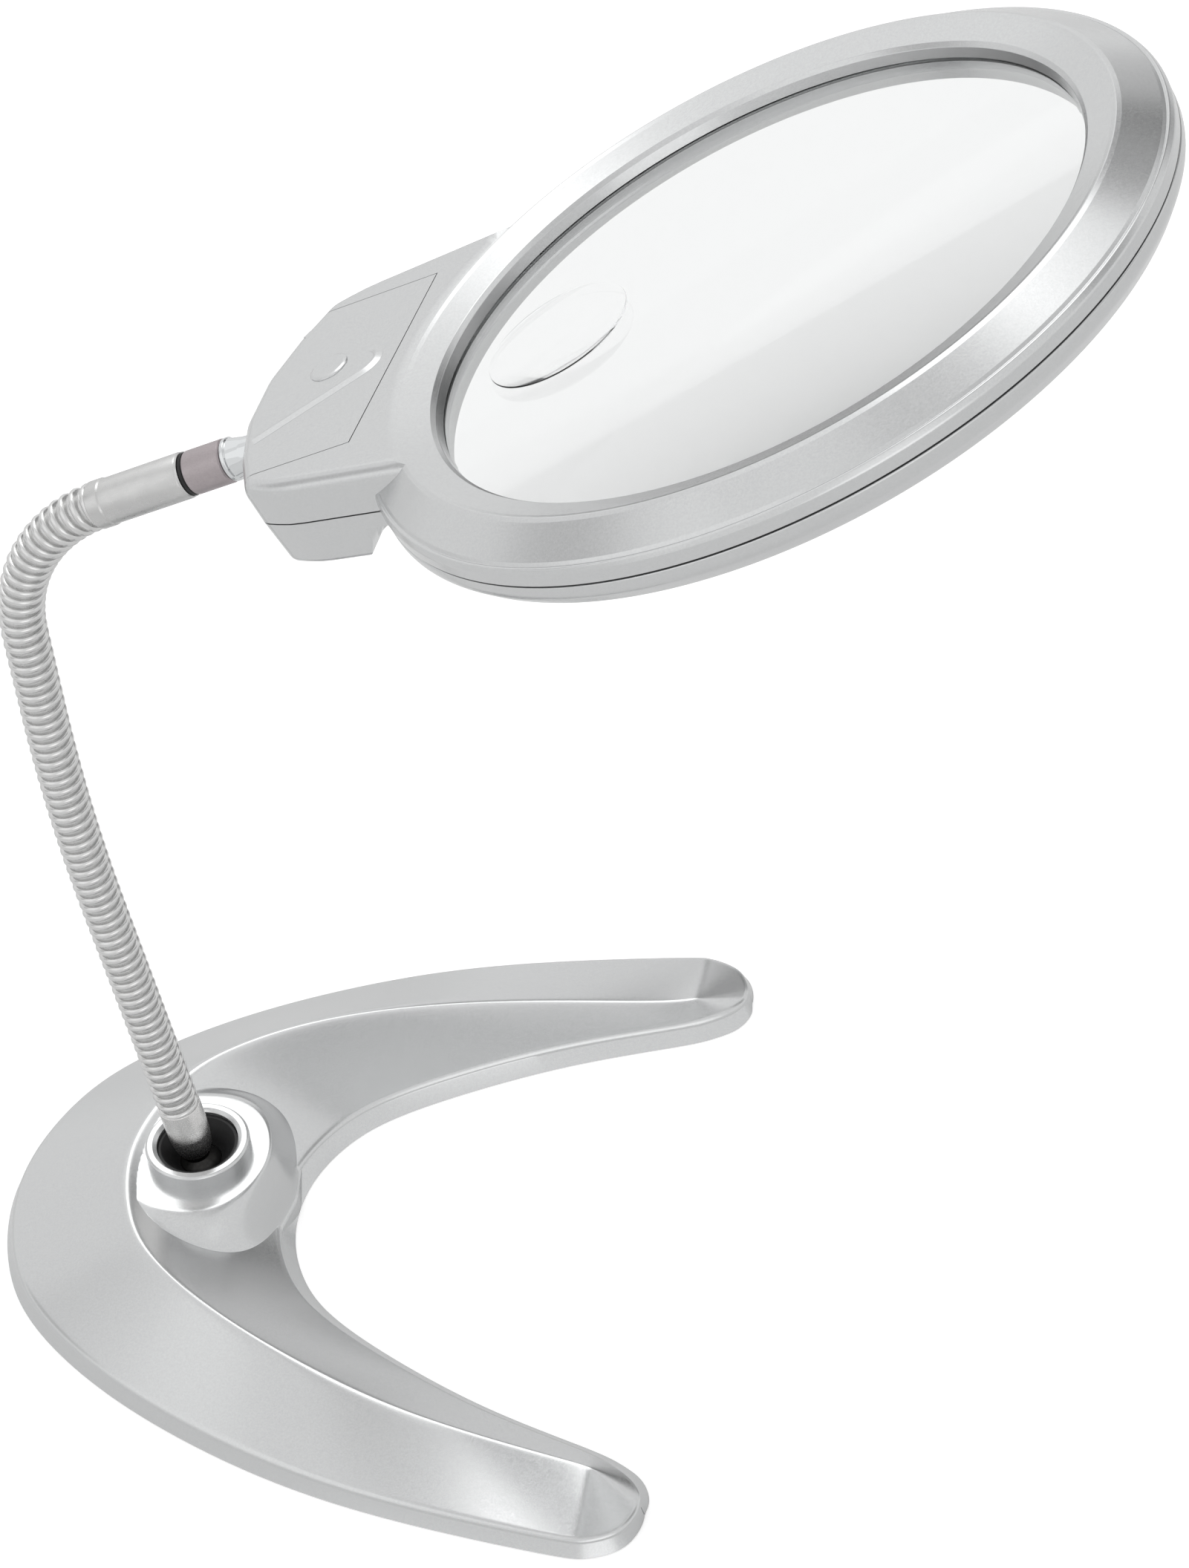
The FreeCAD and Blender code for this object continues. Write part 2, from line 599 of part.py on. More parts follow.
def coil_point(distance):
    point, along, right = neck_frame(distance)
    angle = 2 * math.pi * distance / pitch
    side = along.cross(right)
    radius = (w.NeckOuterDiameter.value - w.WireDiameter.value) / 2
    return point + right * (radius * math.cos(angle)) + side * (radius * math.sin(angle))


def coil_heading(distance):
    step = pitch / 1000
    return (coil_point(distance + step) - coil_point(distance - step)).normalize()


def biarc(a, ta, b, tb):
    """Two arcs that join a to b with the given headings."""
    chord = b - a
    both = ta + tb
    lead = 2 * (1 - ta.dot(tb))
    reach = chord.dot(both)
    d = (-reach + math.sqrt(reach * reach + lead * chord.dot(chord))) / lead
    middle = (a + ta * d + b - tb * d) * 0.5
    heading = ((b - tb * d) - (a + ta * d)).normalize()
    return [arc_from(a, ta, middle), arc_from(middle, heading, b)]


def arc_from(a, heading, b):
    chord = b - a
    normal = chord - heading * chord.dot(heading)
    normal.normalize()
    radius = chord.dot(chord) / (2 * chord.dot(normal))
    centre = a + normal * radius
    bow = (a + b) * 0.5 - centre
    bow.normalize()
    return Part.Arc(a, centre + bow * radius, b).toShape()


def coil_solid(start, end):
    """The wound wire of one link: one unbroken tube on biarcs of half a turn."""
    steps = int(round((end - start) / pitch * 2))
    marks = [start + (end - start) * i / steps for i in range(steps + 1)]
    edges = []
    for a, b in zip(marks, marks[1:]):
        edges += biarc(coil_point(a), coil_heading(a), coil_point(b), coil_heading(b))
    circle = Part.Wire(Part.makeCircle(w.WireDiameter.value / 2, coil_point(start), coil_heading(start)))
    return Part.Wire(edges).makePipeShell([circle], True, False)


def least_coil_gap():
    """Least gap of the wire to itself, measured on points of its middle line."""
    parts = 48
    total = int((neck_length - w.NeckStart.value) / pitch * parts)
    points = [coil_point(w.NeckStart.value + i * pitch / parts) for i in range(total)]
    least = min(
        (points[i] - points[j]).Length
        for i in range(total)
        for j in range(i + parts // 2, min(i + parts * 3 // 2, total)))
    return least - w.WireDiameter.value


def build_neck():
    stud = turned("stud_body", [
        (0, 0), (w.StudRadius, 0), (w.StudRadius, w.StudTaperStart - w.CollarEdge),
            (w.StudTaperFoot, w.StudTaperStart),
        (w.FerruleRadius, w.StudTaperEnd), (w.FerruleRadius, w.NeckStart - w.FerruleStandoff),
        (core_radius, w.NeckStart - w.FerruleStandoff), (core_radius, w.NeckStart), (0, w.NeckStart)])
    tip = sphere("stud_tip", core_radius, (0, 0, w.NeckStart))
    ball = sphere("stud_ball", w.BallRadius)
    keep(fused("ball_stud_body", [ball, stud, tip]), "ball_stud", along_neck(0))

    quarter = pitch / 4
    for index in range(LINKS):
        start, end = hinge_distances[index], hinge_distances[index + 1]
        keep(shaped("core_%d" % (index + 1), core_solid(start, end)), "neck_core_%d" % (index + 1))
        keep(shaped("coil_%d" % (index + 1), coil_solid(start + quarter, end - quarter)),
            "neck_coil_%d" % (index + 1))
    print("curls", LINKS * (TURNS_PER_LINK - 0.5),
        "least gap of the wire to itself %.3f mm" % least_coil_gap())


# Fittings from the neck to the head, turned about the end of the neck

def build_fittings():
    end = along_neck(neck_length)
    pin_room = w.SwivelPinRadius + w.SwivelClearance
    tube = turned("ferrule_body", [
        (0, w.FerruleStandoff), (w.FerruleRadius, w.FerruleStandoff), (w.FerruleRadius, w.UpperFerruleEnd),
        (pin_room, w.UpperFerruleEnd), (pin_room, w.UpperFerruleEnd - w.SwivelPinLength),
            (0, w.UpperFerruleEnd - w.SwivelPinLength)])
    keep(cut("upper_ferrule_cut", tube, [sphere("ferrule_cup", core_radius + w.LinkGap)]), "upper_ferrule",
        end)

    washer_end = w.UpperFerruleEnd + w.WasherThickness
    keep(turned("washer_body", [
        (pin_room, w.UpperFerruleEnd), (w.WasherRadius, w.UpperFerruleEnd),
        (w.WasherRadius, washer_end), (pin_room, washer_end)]), "swivel_washer", end)

    sleeve_start = washer_end + w.SwivelClearance
    pin_start = w.UpperFerruleEnd - w.SwivelPinLength + w.SwivelClearance
    keep(turned("sleeve_body", [
        (0, pin_start), (w.SwivelPinRadius, pin_start), (w.SwivelPinRadius, sleeve_start),
        (w.SleeveRadius, sleeve_start), (w.SleeveRadius, w.SleeveEnd), (0, w.SleeveEnd)]), "swivel_sleeve",
            end)

    bolt_end = w.HousingStart + w.StudBoltLength
    keep(turned("cone_body", [
        (0, w.SleeveEnd), (w.SleeveRadius, w.SleeveEnd), (w.SleeveRadius, w.SleeveEnd + w.CollarEdge * 2),
        (w.ConeTipRadius, w.HousingStart), (w.StudBoltRadius, w.HousingStart),
            (w.StudBoltRadius, bolt_end), (0, bolt_end)]), "cone_nut", end)

    nut_start = w.HousingStart + w.HousingWall
    keep(turned("nut_body", [
        (w.StudBoltRadius, nut_start), (w.StudNutRadius, nut_start),
        (w.StudNutRadius, nut_start + w.StudNutLength), (w.StudBoltRadius, nut_start + w.StudNutLength)]),
            "stud_nut", end)


# Lens head: pieces are drawn about the middle of the lens, then set on the end of the neck

def head_placement():
    point, along, right = neck_frame(neck_length + 0)
    up = right * -1
    side = up.cross(along)
    return Placement(point + along * w.NeckToLens.value, Rotation(along, side, up, "XZY"))


head = head_placement()
slot_radius = lens_radius + w.LensGap * 3
skirt_radius = slot_radius + w.RingWall
slot_top = w.LensEdgeTop + w.LensGap
lens_bottom = w.LensEdgeTop - w.LensEdge
shell_split = w.SeamHeight - w.SeamGap


def mirrored(points):
    return points + [(x, -y) for x, y in reversed(points)]


def housing_plan(grow=0):
    span = w.HousingBack - w.HousingFront
    half = [(-(w.HousingFront + share_x * span), share_y * w.HousingHalfWidth - grow) for share_x,
        share_y in HOUSING_SHARES]
    return mirrored(half)


def rounded(name, body, radius, picks):
    """Fillets the edges of a body that the test picks."""
    document.recompute()
    item = document.addObject("Part::Fillet", name)
    item.Base = body
    edges = [i + 1 for i, edge in enumerate(body.Shape.Edges) if picks(edge)]
    item.Edges = [(i, value_of(radius), value_of(radius)) for i in edges]
    return item


def on_level(level):
    near = value_of(w.Overrun) / 1000
    front = -value_of(w.HousingFront)

    def picks(edge):
        box = edge.BoundBox
        return abs(box.ZMin - level) < near and abs(box.ZMax - level) < near and box.XMin < front - near
    return picks


def shell_screw_spots():
    ring_x = w.ShellScrewRingCircle * cosine(w.ShellScrewRingAngle)
    ring_y = w.ShellScrewRingCircle * sine(w.ShellScrewRingAngle)
    spots = []
    for side in (1, -1):
        spots.append((-w.ShellScrewBackX, side * w.ShellScrewBackY))
        spots.append((-w.ShellScrewFrontX, side * w.ShellScrewFrontY))
        spots.append((ring_x, side * ring_y))
    return spots


def bay_blocks(prefix):
    """The battery bay: a deep room at the back, a round trough in front, a mouth under the door."""
    floor = w.HousingBottom + w.HousingWall
    under_door = w.HousingTop - w.DoorThickness
    trough = w.CellRadius + w.CoverClearance
    deep_front = w.CellFront + w.CellPitch / 2
    return [
        block(prefix + "_room", (-w.BayBack, -w.BayHalfWidth, floor),
            (-deep_front, w.BayHalfWidth, w.BayShelf)),
        block(prefix + "_front", (-deep_front - w.Overrun, -w.BayHalfWidth, w.CellHeight),
            (-w.BayFront, w.BayHalfWidth, w.BayShelf)),
        cylinder(prefix + "_trough", trough, 2 * w.BayHalfWidth,
            (-w.CellFront, w.BayHalfWidth, w.CellHeight), Rotation(Vector(1, 0, 0), 90)),
        block(prefix + "_mouth", (-w.BayBack, -w.BayMouthHalfWidth, w.CellHeight),
            (-w.BayMouthFront, w.BayMouthHalfWidth, under_door)),
    ]


def neck_bores(prefix):
    """The hole of the neck bolt and the pocket of its nut, along X."""
    turn = Rotation(Vector(0, 1, 0), 90)
    pocket_start = w.HousingStart + w.HousingWall - w.NeckToLens
    return [
        cylinder(prefix + "_bolt", w.StudBoltRadius, w.StudBoltLength + w.Overrun,
            (-(w.HousingBack + w.Overrun), 0, 0), turn),
        cylinder(prefix + "_nut", w.StudNutRadius, w.BayFront / 5, (pocket_start, 0, 0), turn),
    ]


def housing_top_block(name):
    body = padded(name, housing_plan(), w.SeamHeight, w.HousingTop - w.SeamHeight)
    body = rounded(name + "_round", body, w.HousingTopRound, on_level(w.HousingTop.value))
    crest = cylinder(name + "_crest", w.RingCrestRadius, w.HousingTop - w.HousingBottom,
        (0, 0, w.SeamHeight - w.Overrun))
    return cut(name + "_back", body, [crest])


def build_upper_shell():
    slope_start = (w.GrooveRadius - w.CollarEdge / 2, w.GrooveHeight + w.CollarEdge)
    ring = turned("upper_ring", [
        (w.ApertureRadius, w.SeamHeight), (w.RingRadius, w.SeamHeight),
            (w.RingRadius, w.GrooveHeight - w.RingWall),
        (w.RingRadius - w.CollarEdge / 2, w.GrooveHeight - w.CollarEdge / 2),
            (w.GrooveRadius, w.GrooveHeight), slope_start,
        (w.RingCrestRadius, w.RingCrestHeight), (w.ApertureRadius, w.RingInnerHeight)])
    mass = fused("upper_mass", [ring, housing_top_block("upper_block")])
    deep = w.SeamHeight - w.Overrun
    under_door = w.HousingTop - w.DoorThickness - w.DoorFloorClearance
    tools = [
        cylinder("upper_slot", slot_radius, slot_top - deep, (0, 0, deep)),
        turned("upper_groove", [
            (skirt_radius, deep), (w.RingRadius - w.RingWall, deep),
                (w.RingRadius - w.RingWall, w.GrooveHeight - w.RingWall),
            (w.RingCrestRadius, w.RingCrestHeight - w.RingWall * 1.2),
                (skirt_radius, w.RingInnerHeight - w.RingWall * 0.4)]),
        block("door_mouth", (-(w.HousingBack + w.Overrun), -(w.DoorHalfWidth + w.DoorClearance), under_door),
              (-(w.DoorFront - w.DoorClearance), w.DoorHalfWidth + w.DoorClearance,
                  w.HousingTop + w.Overrun)),
    ]
    tools += bay_blocks("upper_bay") + neck_bores("upper_neck")
    hollow = cut("upper_hollow", mass, tools)
    holes = []
    posts = []
    for i, (x, y) in enumerate(shell_screw_spots()):
        top = w.ShellScrewTop - w.RingWall if i % 3 == 2 else w.ShellScrewTop
        posts.append(cylinder("upper_post_%d" % i, w.ShellPostRadius, top - w.SeamHeight,
            (x, y, w.SeamHeight)))
        holes.append(cylinder("upper_hole_%d" % i, w.ShellScrewRadius, top - w.SeamHeight,
            (x, y, w.SeamHeight - w.Overrun)))
    keep(cut("upper_shell_cut", fused("upper_posted", [hollow] + posts), holes), "head_upper_shell", head)


def build_door():
    under_door = w.HousingTop - w.DoorThickness
    box = block("door_box", (-(w.HousingBack + w.Overrun), -w.DoorHalfWidth, under_door),
        (-w.DoorFront, w.DoorHalfWidth, w.HousingTop + w.Overrun))
    leaf = common("door_leaf", [housing_top_block("door_block"), box])
    length = w.HousingBack - w.DoorFront
    outer = [(-(w.DoorFront + sx * length), sy * w.DoorHalfWidth) for sx, sy in RIDGE_SHARES]
    inner = [(x - w.RidgeWidth, y - w.RidgeWidth * 0.4) for x, y in outer]
    outline = outer + list(reversed(inner)) + [(x, -y) for x, y in inner] + [(x, -y) for x,
        y in reversed(outer)]
    ridge = padded("door_ridge", outline, w.HousingTop - w.RidgeRise, 2 * w.RidgeRise)
    dot = cylinder("door_dot", w.DotRadius, 2 * w.DotRise,
        (-w.DotBack, w.DotOffset, w.HousingTop - w.DotRise))
    keep(fused("battery_door_body", [leaf, ridge, dot]), "battery_door", head)


def build_lower_shell():
    ring = turned("lower_ring", [
        (w.ApertureRadius, lens_bottom), (slot_radius - w.LensGap, lens_bottom),
            (slot_radius - w.LensGap, shell_split), (w.RingRadius, shell_split),
        (w.RingRadius, shell_split - w.RingWall * 0.7),
            (w.RingRadius - w.CollarEdge * 2, w.RingBottom + w.RingWall * 1.5),
        (w.RingRadius - w.RingWall * 2.2, w.RingBottom + w.RingWall * 0.4), (w.RingCrestRadius, w.RingBottom),
        (w.ApertureRadius, w.RingBottom + w.RingWall / 2)])
    depth = shell_split - w.HousingBottom
    body = padded("lower_block", housing_plan(), w.HousingBottom, depth)
    body = rounded("lower_round", body, w.HousingBottomRound, on_level(w.HousingBottom.value))
    reach = w.HousingHalfWidth + w.Overrun
    wedge_body = document.addObject("PartDesign::Body", "bulge_wedge")
    wedge_sketch = sketch_polygon(wedge_body, "bulge_wedge_profile", "XZ_Plane", [
        (-w.BulgeFront, w.HousingBottom - w.Overrun), (-w.BulgeFront, w.HousingBottom),
        (-(w.BulgeFront - w.BulgeSlope), w.RingBottom), (0, w.RingBottom), (0, w.HousingBottom - w.Overrun)])
    wedge = wedge_body.newObject("PartDesign::Pad", "bulge_wedge_pad")
    wedge.Profile = wedge_sketch
    wedge.Midplane = True
    wedge.Length = value_of(2 * reach)
    bind(wedge, "Length", 2 * reach)
    inside = cylinder("lower_inside", w.RingCrestRadius, depth + 2 * w.Overrun,
        (0, 0, w.HousingBottom - w.Overrun))
    mass = fused("lower_mass", [ring, cut("lower_back", body, [wedge_body, inside])])
    tools = [turned("lower_groove", [
        (skirt_radius, shell_split + w.Overrun), (skirt_radius, w.RingBottom + w.RingWall * 1.2),
            (w.RingCrestRadius, w.RingBottom + w.RingWall),
        (w.RingRadius - w.RingWall * 2.6, w.RingBottom + w.RingWall * 1.45),
            (w.RingRadius - w.RingWall * 1.4, shell_split - w.RingWall),
        (w.RingRadius - w.RingWall, shell_split + w.Overrun)])]
    tools += bay_blocks("lower_bay") + neck_bores("lower_neck")
    slot_half = w.SwitchWidth / 2 + w.SwitchClearance
    slot_start = -(w.SwitchLength / 2 + w.SwitchTravel / 2 + w.SwitchClearance)
    tools.append(block("switch_slot", (-w.SwitchBack - slot_half, slot_start, w.HousingBottom - w.Overrun),
        (-w.SwitchBack + slot_half, -slot_start, w.HousingBottom + w.HousingWall + w.Overrun)))
    for i, side in enumerate((1, -1)):
        spot = (w.LampCircle * cosine(w.LampAngle), side * w.LampCircle * sine(w.LampAngle),
            w.RingBottom - w.Overrun)
        tools.append(cylinder("lamp_hole_%d" % i, w.LampRadius + w.LampClearance, w.RingWall * 3, spot))
    hollow = cut("lower_hollow", mass, tools)
    posts = []
    holes = []
    for i, (x, y) in enumerate(shell_screw_spots()):
        foot = w.RingBottom + w.RingWall / 4 if i % 3 else w.HousingBottom + w.HousingBottomRound
        foot = w.RingBottom + w.RingWall / 2 if i % 3 == 1 else foot
        posts.append(cylinder("lower_post_%d" % i, w.ShellPostRadius, shell_split - foot, (x, y, foot)))
        holes.append(cylinder("lower_hole_%d" % i, w.ShellScrewRadius + w.SeamGap,
            shell_split - w.HousingBottom + w.Overrun, (x, y, w.HousingBottom)))
        holes.append(cylinder("lower_sink_%d" % i, w.ShellScrewHead + w.SeamGap,
            w.HousingBottomRound + w.ShellScrewHeadHeight + w.Overrun, (x, y,
            foot - w.HousingBottomRound - w.Overrun)))
    keep(cut("lower_shell_cut", fused("lower_posted", [hollow] + posts), holes), "head_lower_shell", head)

    screws = []
    for i, (x, y) in enumerate(shell_screw_spots()):
        foot = w.RingBottom + w.RingWall / 4 if i % 3 else w.HousingBottom + w.HousingBottomRound
        foot = w.RingBottom + w.RingWall / 2 if i % 3 == 1 else foot
        top = w.ShellScrewTop - w.RingWall if i % 3 == 2 else w.ShellScrewTop
        seat = foot + w.ShellScrewHeadHeight
        screw_top = top - w.Overrun
        head_part = cylinder("shell_head_%d" % i, w.ShellScrewHead, w.ShellScrewHeadHeight, (x, y, foot))
        shank = cylinder("shell_shank_%d" % i, w.ShellScrewRadius, screw_top - seat, (x, y, seat))
        screws.append(fused("shell_screw_%d" % i, [head_part, shank]))
    keep(grouped("shell_screw_set", screws), "shell_screws", head)


def dome(name, radius, crown, level):
    """A cap of a large sphere that stands on a level."""
    big = (radius * radius + crown * crown) / (2 * crown)
    ball = sphere(name + "_ball", big, (0, 0, level + crown - big))
    disc = cylinder(name + "_disc", radius + w.Overrun, crown + w.Overrun, (0, 0, level))
    return common(name, [ball, disc])


def build_lenses():
    clear = lens_radius - w.LensRim
    plate = cylinder("lens_plate", lens_radius, w.LensEdge, (0, 0, lens_bottom))
    top = dome("lens_top", clear, w.LensCrown, w.LensEdgeTop)
    middle = (lens_bottom + w.LensEdgeTop) / 2
    well = cylinder("lens_well", w.SpotRadius + w.SpotClearance, w.LensCrown * 2, (-w.SpotOffset, 0, middle))
    keep(cut("main_lens_cut", fused("lens_body", [plate, top]), [well]), "main_lens", head)

    rise = w.LensCrown + w.SpotCrown
    big = (w.SpotRadius * w.SpotRadius + w.SpotCrown * w.SpotCrown) / (2 * w.SpotCrown)
    crown_level = w.LensEdgeTop + rise / 2
    blank = cylinder("spot_blank", w.SpotRadius, crown_level - middle, (-w.SpotOffset, 0, middle))
    ball = sphere("spot_ball", big, (-w.SpotOffset, 0, crown_level + w.SpotCrown - big))
    disc = cylinder("spot_disc", w.SpotRadius, w.SpotCrown + w.Overrun, (-w.SpotOffset, 0, crown_level))
    keep(fused("spot_lens_body", [blank, common("spot_cap", [ball, disc])]), "spot_lens", head)


def build_power():
    end_level = w.BayHalfWidth - w.CoverClearance / 2
    plates = []
    springs = []
    for i in range(CELLS):
        x = -(w.CellFront + i * w.CellPitch)
        side = 1 if i % 2 == 0 else -1
        nub_end = end_level - w.PlateThickness
        turn = Rotation(Vector(1, 0, 0), -90 * side)
        start = side * (nub_end - w.CellLength)
        can = cylinder("cell_can_%d" % i, w.CellRadius, w.CellLength - w.CellNubLength,
            (x, start, w.CellHeight), turn)
        nub = cylinder("cell_nub_%d" % i, w.CellNubRadius, w.CellLength, (x, start, w.CellHeight), turn)
        keep(fused("cell_%d" % i, [can, nub]), "battery_%d" % (i + 1), head)
        spring_length = 2 * nub_end - w.CellLength
        springs.append(cone("spring_%d" % i, w.SpringRadius, w.SpringTipRadius, spring_length,
            (x, -side * nub_end, w.CellHeight), turn))
        for j, way in enumerate((1, -1)):
            low_y = nub_end if way > 0 else -end_level
            high_y = end_level if way > 0 else -nub_end
            half = w.PlateSize / 2
            plates.append(block("plate_%d_%d" % (i, j), (x - half, low_y, w.CellHeight - half),
                (x + half, high_y, w.CellHeight + half)))
    keep(grouped("spring_set", springs), "contact_springs", head)
    keep(grouped("plate_set", plates), "contact_plates", head)


def build_lamps():
    lamps = []
    boards = []
    for i, side in enumerate((1, -1)):
        x = w.LampCircle * cosine(w.LampAngle)
        y = side * w.LampCircle * sine(w.LampAngle)
        bulb = sphere("lamp_bulb_%d" % i, w.LampRadius, (x, y, w.LampBottom + w.LampRadius))
        stem = cylinder("lamp_stem_%d" % i, w.LampRadius, w.LampTop - w.LampBottom - w.LampRadius,
            (x, y, w.LampBottom + w.LampRadius))
        lamps.append(fused("lamp_%d" % i, [bulb, stem]))
        low = (x - w.LampBoardWidth / 2, y - w.LampBoardLength / 2, w.LampTop)
        high = (x + w.LampBoardWidth / 2, y + w.LampBoardLength / 2, w.LampTop + w.LampBoardThickness)
        boards.append(block("lamp_board_%d" % i, low, high))
    keep(grouped("lamp_set", lamps), "led_lamps", head)
    keep(grouped("board_set", boards), "led_boards", head)


def build_switch():
    floor = w.HousingBottom + w.HousingWall
    flange_bottom = floor + w.DoorFloorClearance
    low_y = -(w.SwitchLength / 2 + w.SwitchTravel / 2)
    high_y = low_y + w.SwitchLength
    half = w.SwitchWidth / 2
    knob = block("switch_knob", (-w.SwitchBack - half, low_y, w.HousingBottom - w.SwitchRise),
        (-w.SwitchBack + half, high_y, flange_bottom + w.SwitchFlange))
    lap = w.SwitchFlangeLap
    flange = block("switch_flange", (-w.SwitchBack - half - lap, low_y - lap - w.SwitchTravel,
        flange_bottom), (-w.SwitchBack + half + lap, high_y + lap, flange_bottom + w.SwitchFlange))
    keep(fused("switch_body", [knob, flange]), "switch_slider", head)


build_base()
build_pivot()
build_neck()
build_fittings()
build_upper_shell()
build_door()
build_lower_shell()
build_lenses()
build_power()
build_lamps()
build_switch()
document.recompute()

# Every object is checked before anything is written
for item in document.Objects:
    if "Invalid" in item.State or "Error" in item.State:
        raise RuntimeError("%s did not compute: %s" % (item.Label, item.State))
for item in nodes:
    if item.Shape.isNull() or not item.Shape.isValid():
        raise RuntimeError("%s has no valid shape" % item.Label)

os.makedirs("parts", exist_ok=True)
for item in nodes:
    item.Shape.exportStep("parts/%s.step" % item.Label)
print(len(nodes), "nodes", "neck length %.1f" % neck_length, "link %.2f" % link_length, "pitch %.3f" % pitch)
for distance in hinge_distances:
    point, along, _ = neck_frame(distance)
    print("hinge", [round(c, 3) for c in point], [round(c, 4) for c in along])
print("lens middle", head)
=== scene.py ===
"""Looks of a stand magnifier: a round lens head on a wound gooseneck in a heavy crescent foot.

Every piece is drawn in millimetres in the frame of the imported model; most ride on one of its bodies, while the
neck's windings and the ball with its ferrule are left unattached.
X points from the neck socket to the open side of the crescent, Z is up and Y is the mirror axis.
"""

import json
import math
from collections import namedtuple

import bmesh
import bpy
import numpy as np
from mathutils import Matrix, Vector

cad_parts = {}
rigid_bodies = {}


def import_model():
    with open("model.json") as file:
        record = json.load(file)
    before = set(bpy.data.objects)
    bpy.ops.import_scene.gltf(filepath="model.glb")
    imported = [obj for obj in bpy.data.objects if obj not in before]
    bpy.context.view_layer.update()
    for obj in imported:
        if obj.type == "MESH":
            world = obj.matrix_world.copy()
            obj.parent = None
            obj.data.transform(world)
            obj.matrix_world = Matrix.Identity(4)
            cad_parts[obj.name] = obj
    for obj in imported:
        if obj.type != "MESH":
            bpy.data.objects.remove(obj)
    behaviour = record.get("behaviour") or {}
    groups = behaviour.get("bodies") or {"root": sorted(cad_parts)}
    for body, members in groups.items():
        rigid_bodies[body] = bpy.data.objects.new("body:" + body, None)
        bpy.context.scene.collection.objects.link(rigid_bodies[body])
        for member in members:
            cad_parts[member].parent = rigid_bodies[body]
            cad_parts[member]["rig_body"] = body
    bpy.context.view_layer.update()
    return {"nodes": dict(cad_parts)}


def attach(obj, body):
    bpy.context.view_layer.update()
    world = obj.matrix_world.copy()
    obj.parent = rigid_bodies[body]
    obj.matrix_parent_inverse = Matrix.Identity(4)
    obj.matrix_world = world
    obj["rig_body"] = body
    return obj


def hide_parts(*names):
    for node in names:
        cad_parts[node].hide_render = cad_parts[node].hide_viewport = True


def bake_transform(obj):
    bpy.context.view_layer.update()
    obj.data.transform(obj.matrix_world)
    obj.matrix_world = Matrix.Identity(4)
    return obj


bl_info = {
    "name": "Stand Magnifier",
    "version": (1, 0, 0),
    "blender": (4, 5, 0),
    "location": "3D View > Sidebar > Magnifier",
    "description": "Builds the shells, neck, fittings, lens and studio of a stand magnifier",
    "category": "Object",
}

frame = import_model()
MM = 0.001
Look = namedtuple("Look", "material tree shader coords")

# Foot: stations from the back round to the tip, as shares of its depth and half width
FOOT_STATIONS = (
    ((0.000, 0.000), (0.193, 0.000), (0.405, 0.000), 1.000),
    ((0.034, 0.272), (0.223, 0.228), (0.418, 0.144), 0.989),
    ((0.114, 0.474), (0.281, 0.369), (0.458, 0.280), 0.962),
    ((0.259, 0.667), (0.378, 0.496), (0.522, 0.388), 0.890),
    ((0.455, 0.833), (0.510, 0.611), (0.624, 0.500), 0.742),
    ((0.662, 0.937), (0.673, 0.704), (0.760, 0.617), 0.538),
    ((0.870, 0.994), (0.850, 0.762), (0.893, 0.703), 0.385),
    ((0.938, 0.997), (0.925, 0.790), (0.945, 0.742), 0.365),
    ((0.978, 0.962), (0.965, 0.822), (0.976, 0.780), 0.355),
    ((0.997, 0.903), (0.992, 0.855), (0.996, 0.823), 0.352),
    ((1.000, 0.862), (1.000, 0.860), (1.000, 0.858), 0.350),
)
# Boss: angle from the open side, reach of its flat top, reach and height of its foot
BOSS_STATIONS = (
    (0, 15.8, 20.9, 3.2), (20, 16.0, 21.3, 3.4), (40, 16.6, 24.3, 4.4), (60, 17.2, 27.6, 7.8),
    (80, 17.4, 26.8, 12.0),
    (100, 17.6, 22.8, 15.6), (120, 18.4, 20.8, 16.8), (140, 18.0, 19.6, 17.0), (160, 16.2, 17.4, 17.1),
    (180, 15.2, 16.4, 17.1),
)
FOOT_PADS = ((0.290, 0.0), (0.140, 0.320), (0.140, -0.320), (0.520, 0.780), (0.520, -0.780), (0.905, 0.860),
    (0.905, -0.860))
COVER_SCREWS = ((0.086, 0.0), (0.321, 0.578), (0.321, -0.578), (0.670, 0.790), (0.670, -0.790))
# Housing behind the ring: plan corners about the lens middle, each with its rounding
HOUSING_PLAN = ((-60.0, 38.8), (-92.0, 32.8, 30.0), (-99.2, 29.6, 5.0), (-103.8, 19.0, 9.0),
    (-107.0, 7.0, 14.0))
# Arch on the battery door, from its far end to the middle of its bow
ARCH_POINTS = ((-101.4, -15.0), (-96.0, -11.3), (-91.5, -8.3), (-87.5, -5.7), (-83.7, -3.2), (-81.0, -1.3),
    (-79.6, 0.4), (-79.2, 2.2))
NECK_START, NECK_END, LINKS, PITCH = 17.0, 199.8, 8, 2.539
LINK = (NECK_END - NECK_START) / LINKS
FOOT_DEPTH, FOOT_HALF_WIDTH, FOOT_BACK = 161.9, 89.4, 46.95
# The ridge ends at this station, and a cone falls from there to the tip
NOSE_STATION = 7
# Middle of the ball over the floor, its radius and that of the cup round it
BALL_HEIGHT, BALL_RADIUS, CUP_RADIUS = 11.5, 6.0, 6.08
# From the end of the neck to the middle of the lens, and the turn of the housing about it
HEAD_REACH, HOUSING_TURN = 144.4, -3.75
# Circle of the lamps and of the front screws round the lens, and where on it they stand
RIM_CIRCLE, LAMP_ANGLE, SCREW_ANGLE = 72.3, 155, 60
# Front cell behind the lens, the next cell behind it, and their height
CELL_FRONT, CELL_PITCH, CELL_LEVEL = 73.0, 10.7, -3.0
HOUSING_TOP, HOUSING_EDGE, SHELL_SEAM = 6.5, 3.2, -2.3
SPOT_RADIUS, SPOT_REACH = 14.5, 40.0


# Colours, nodes and finishes

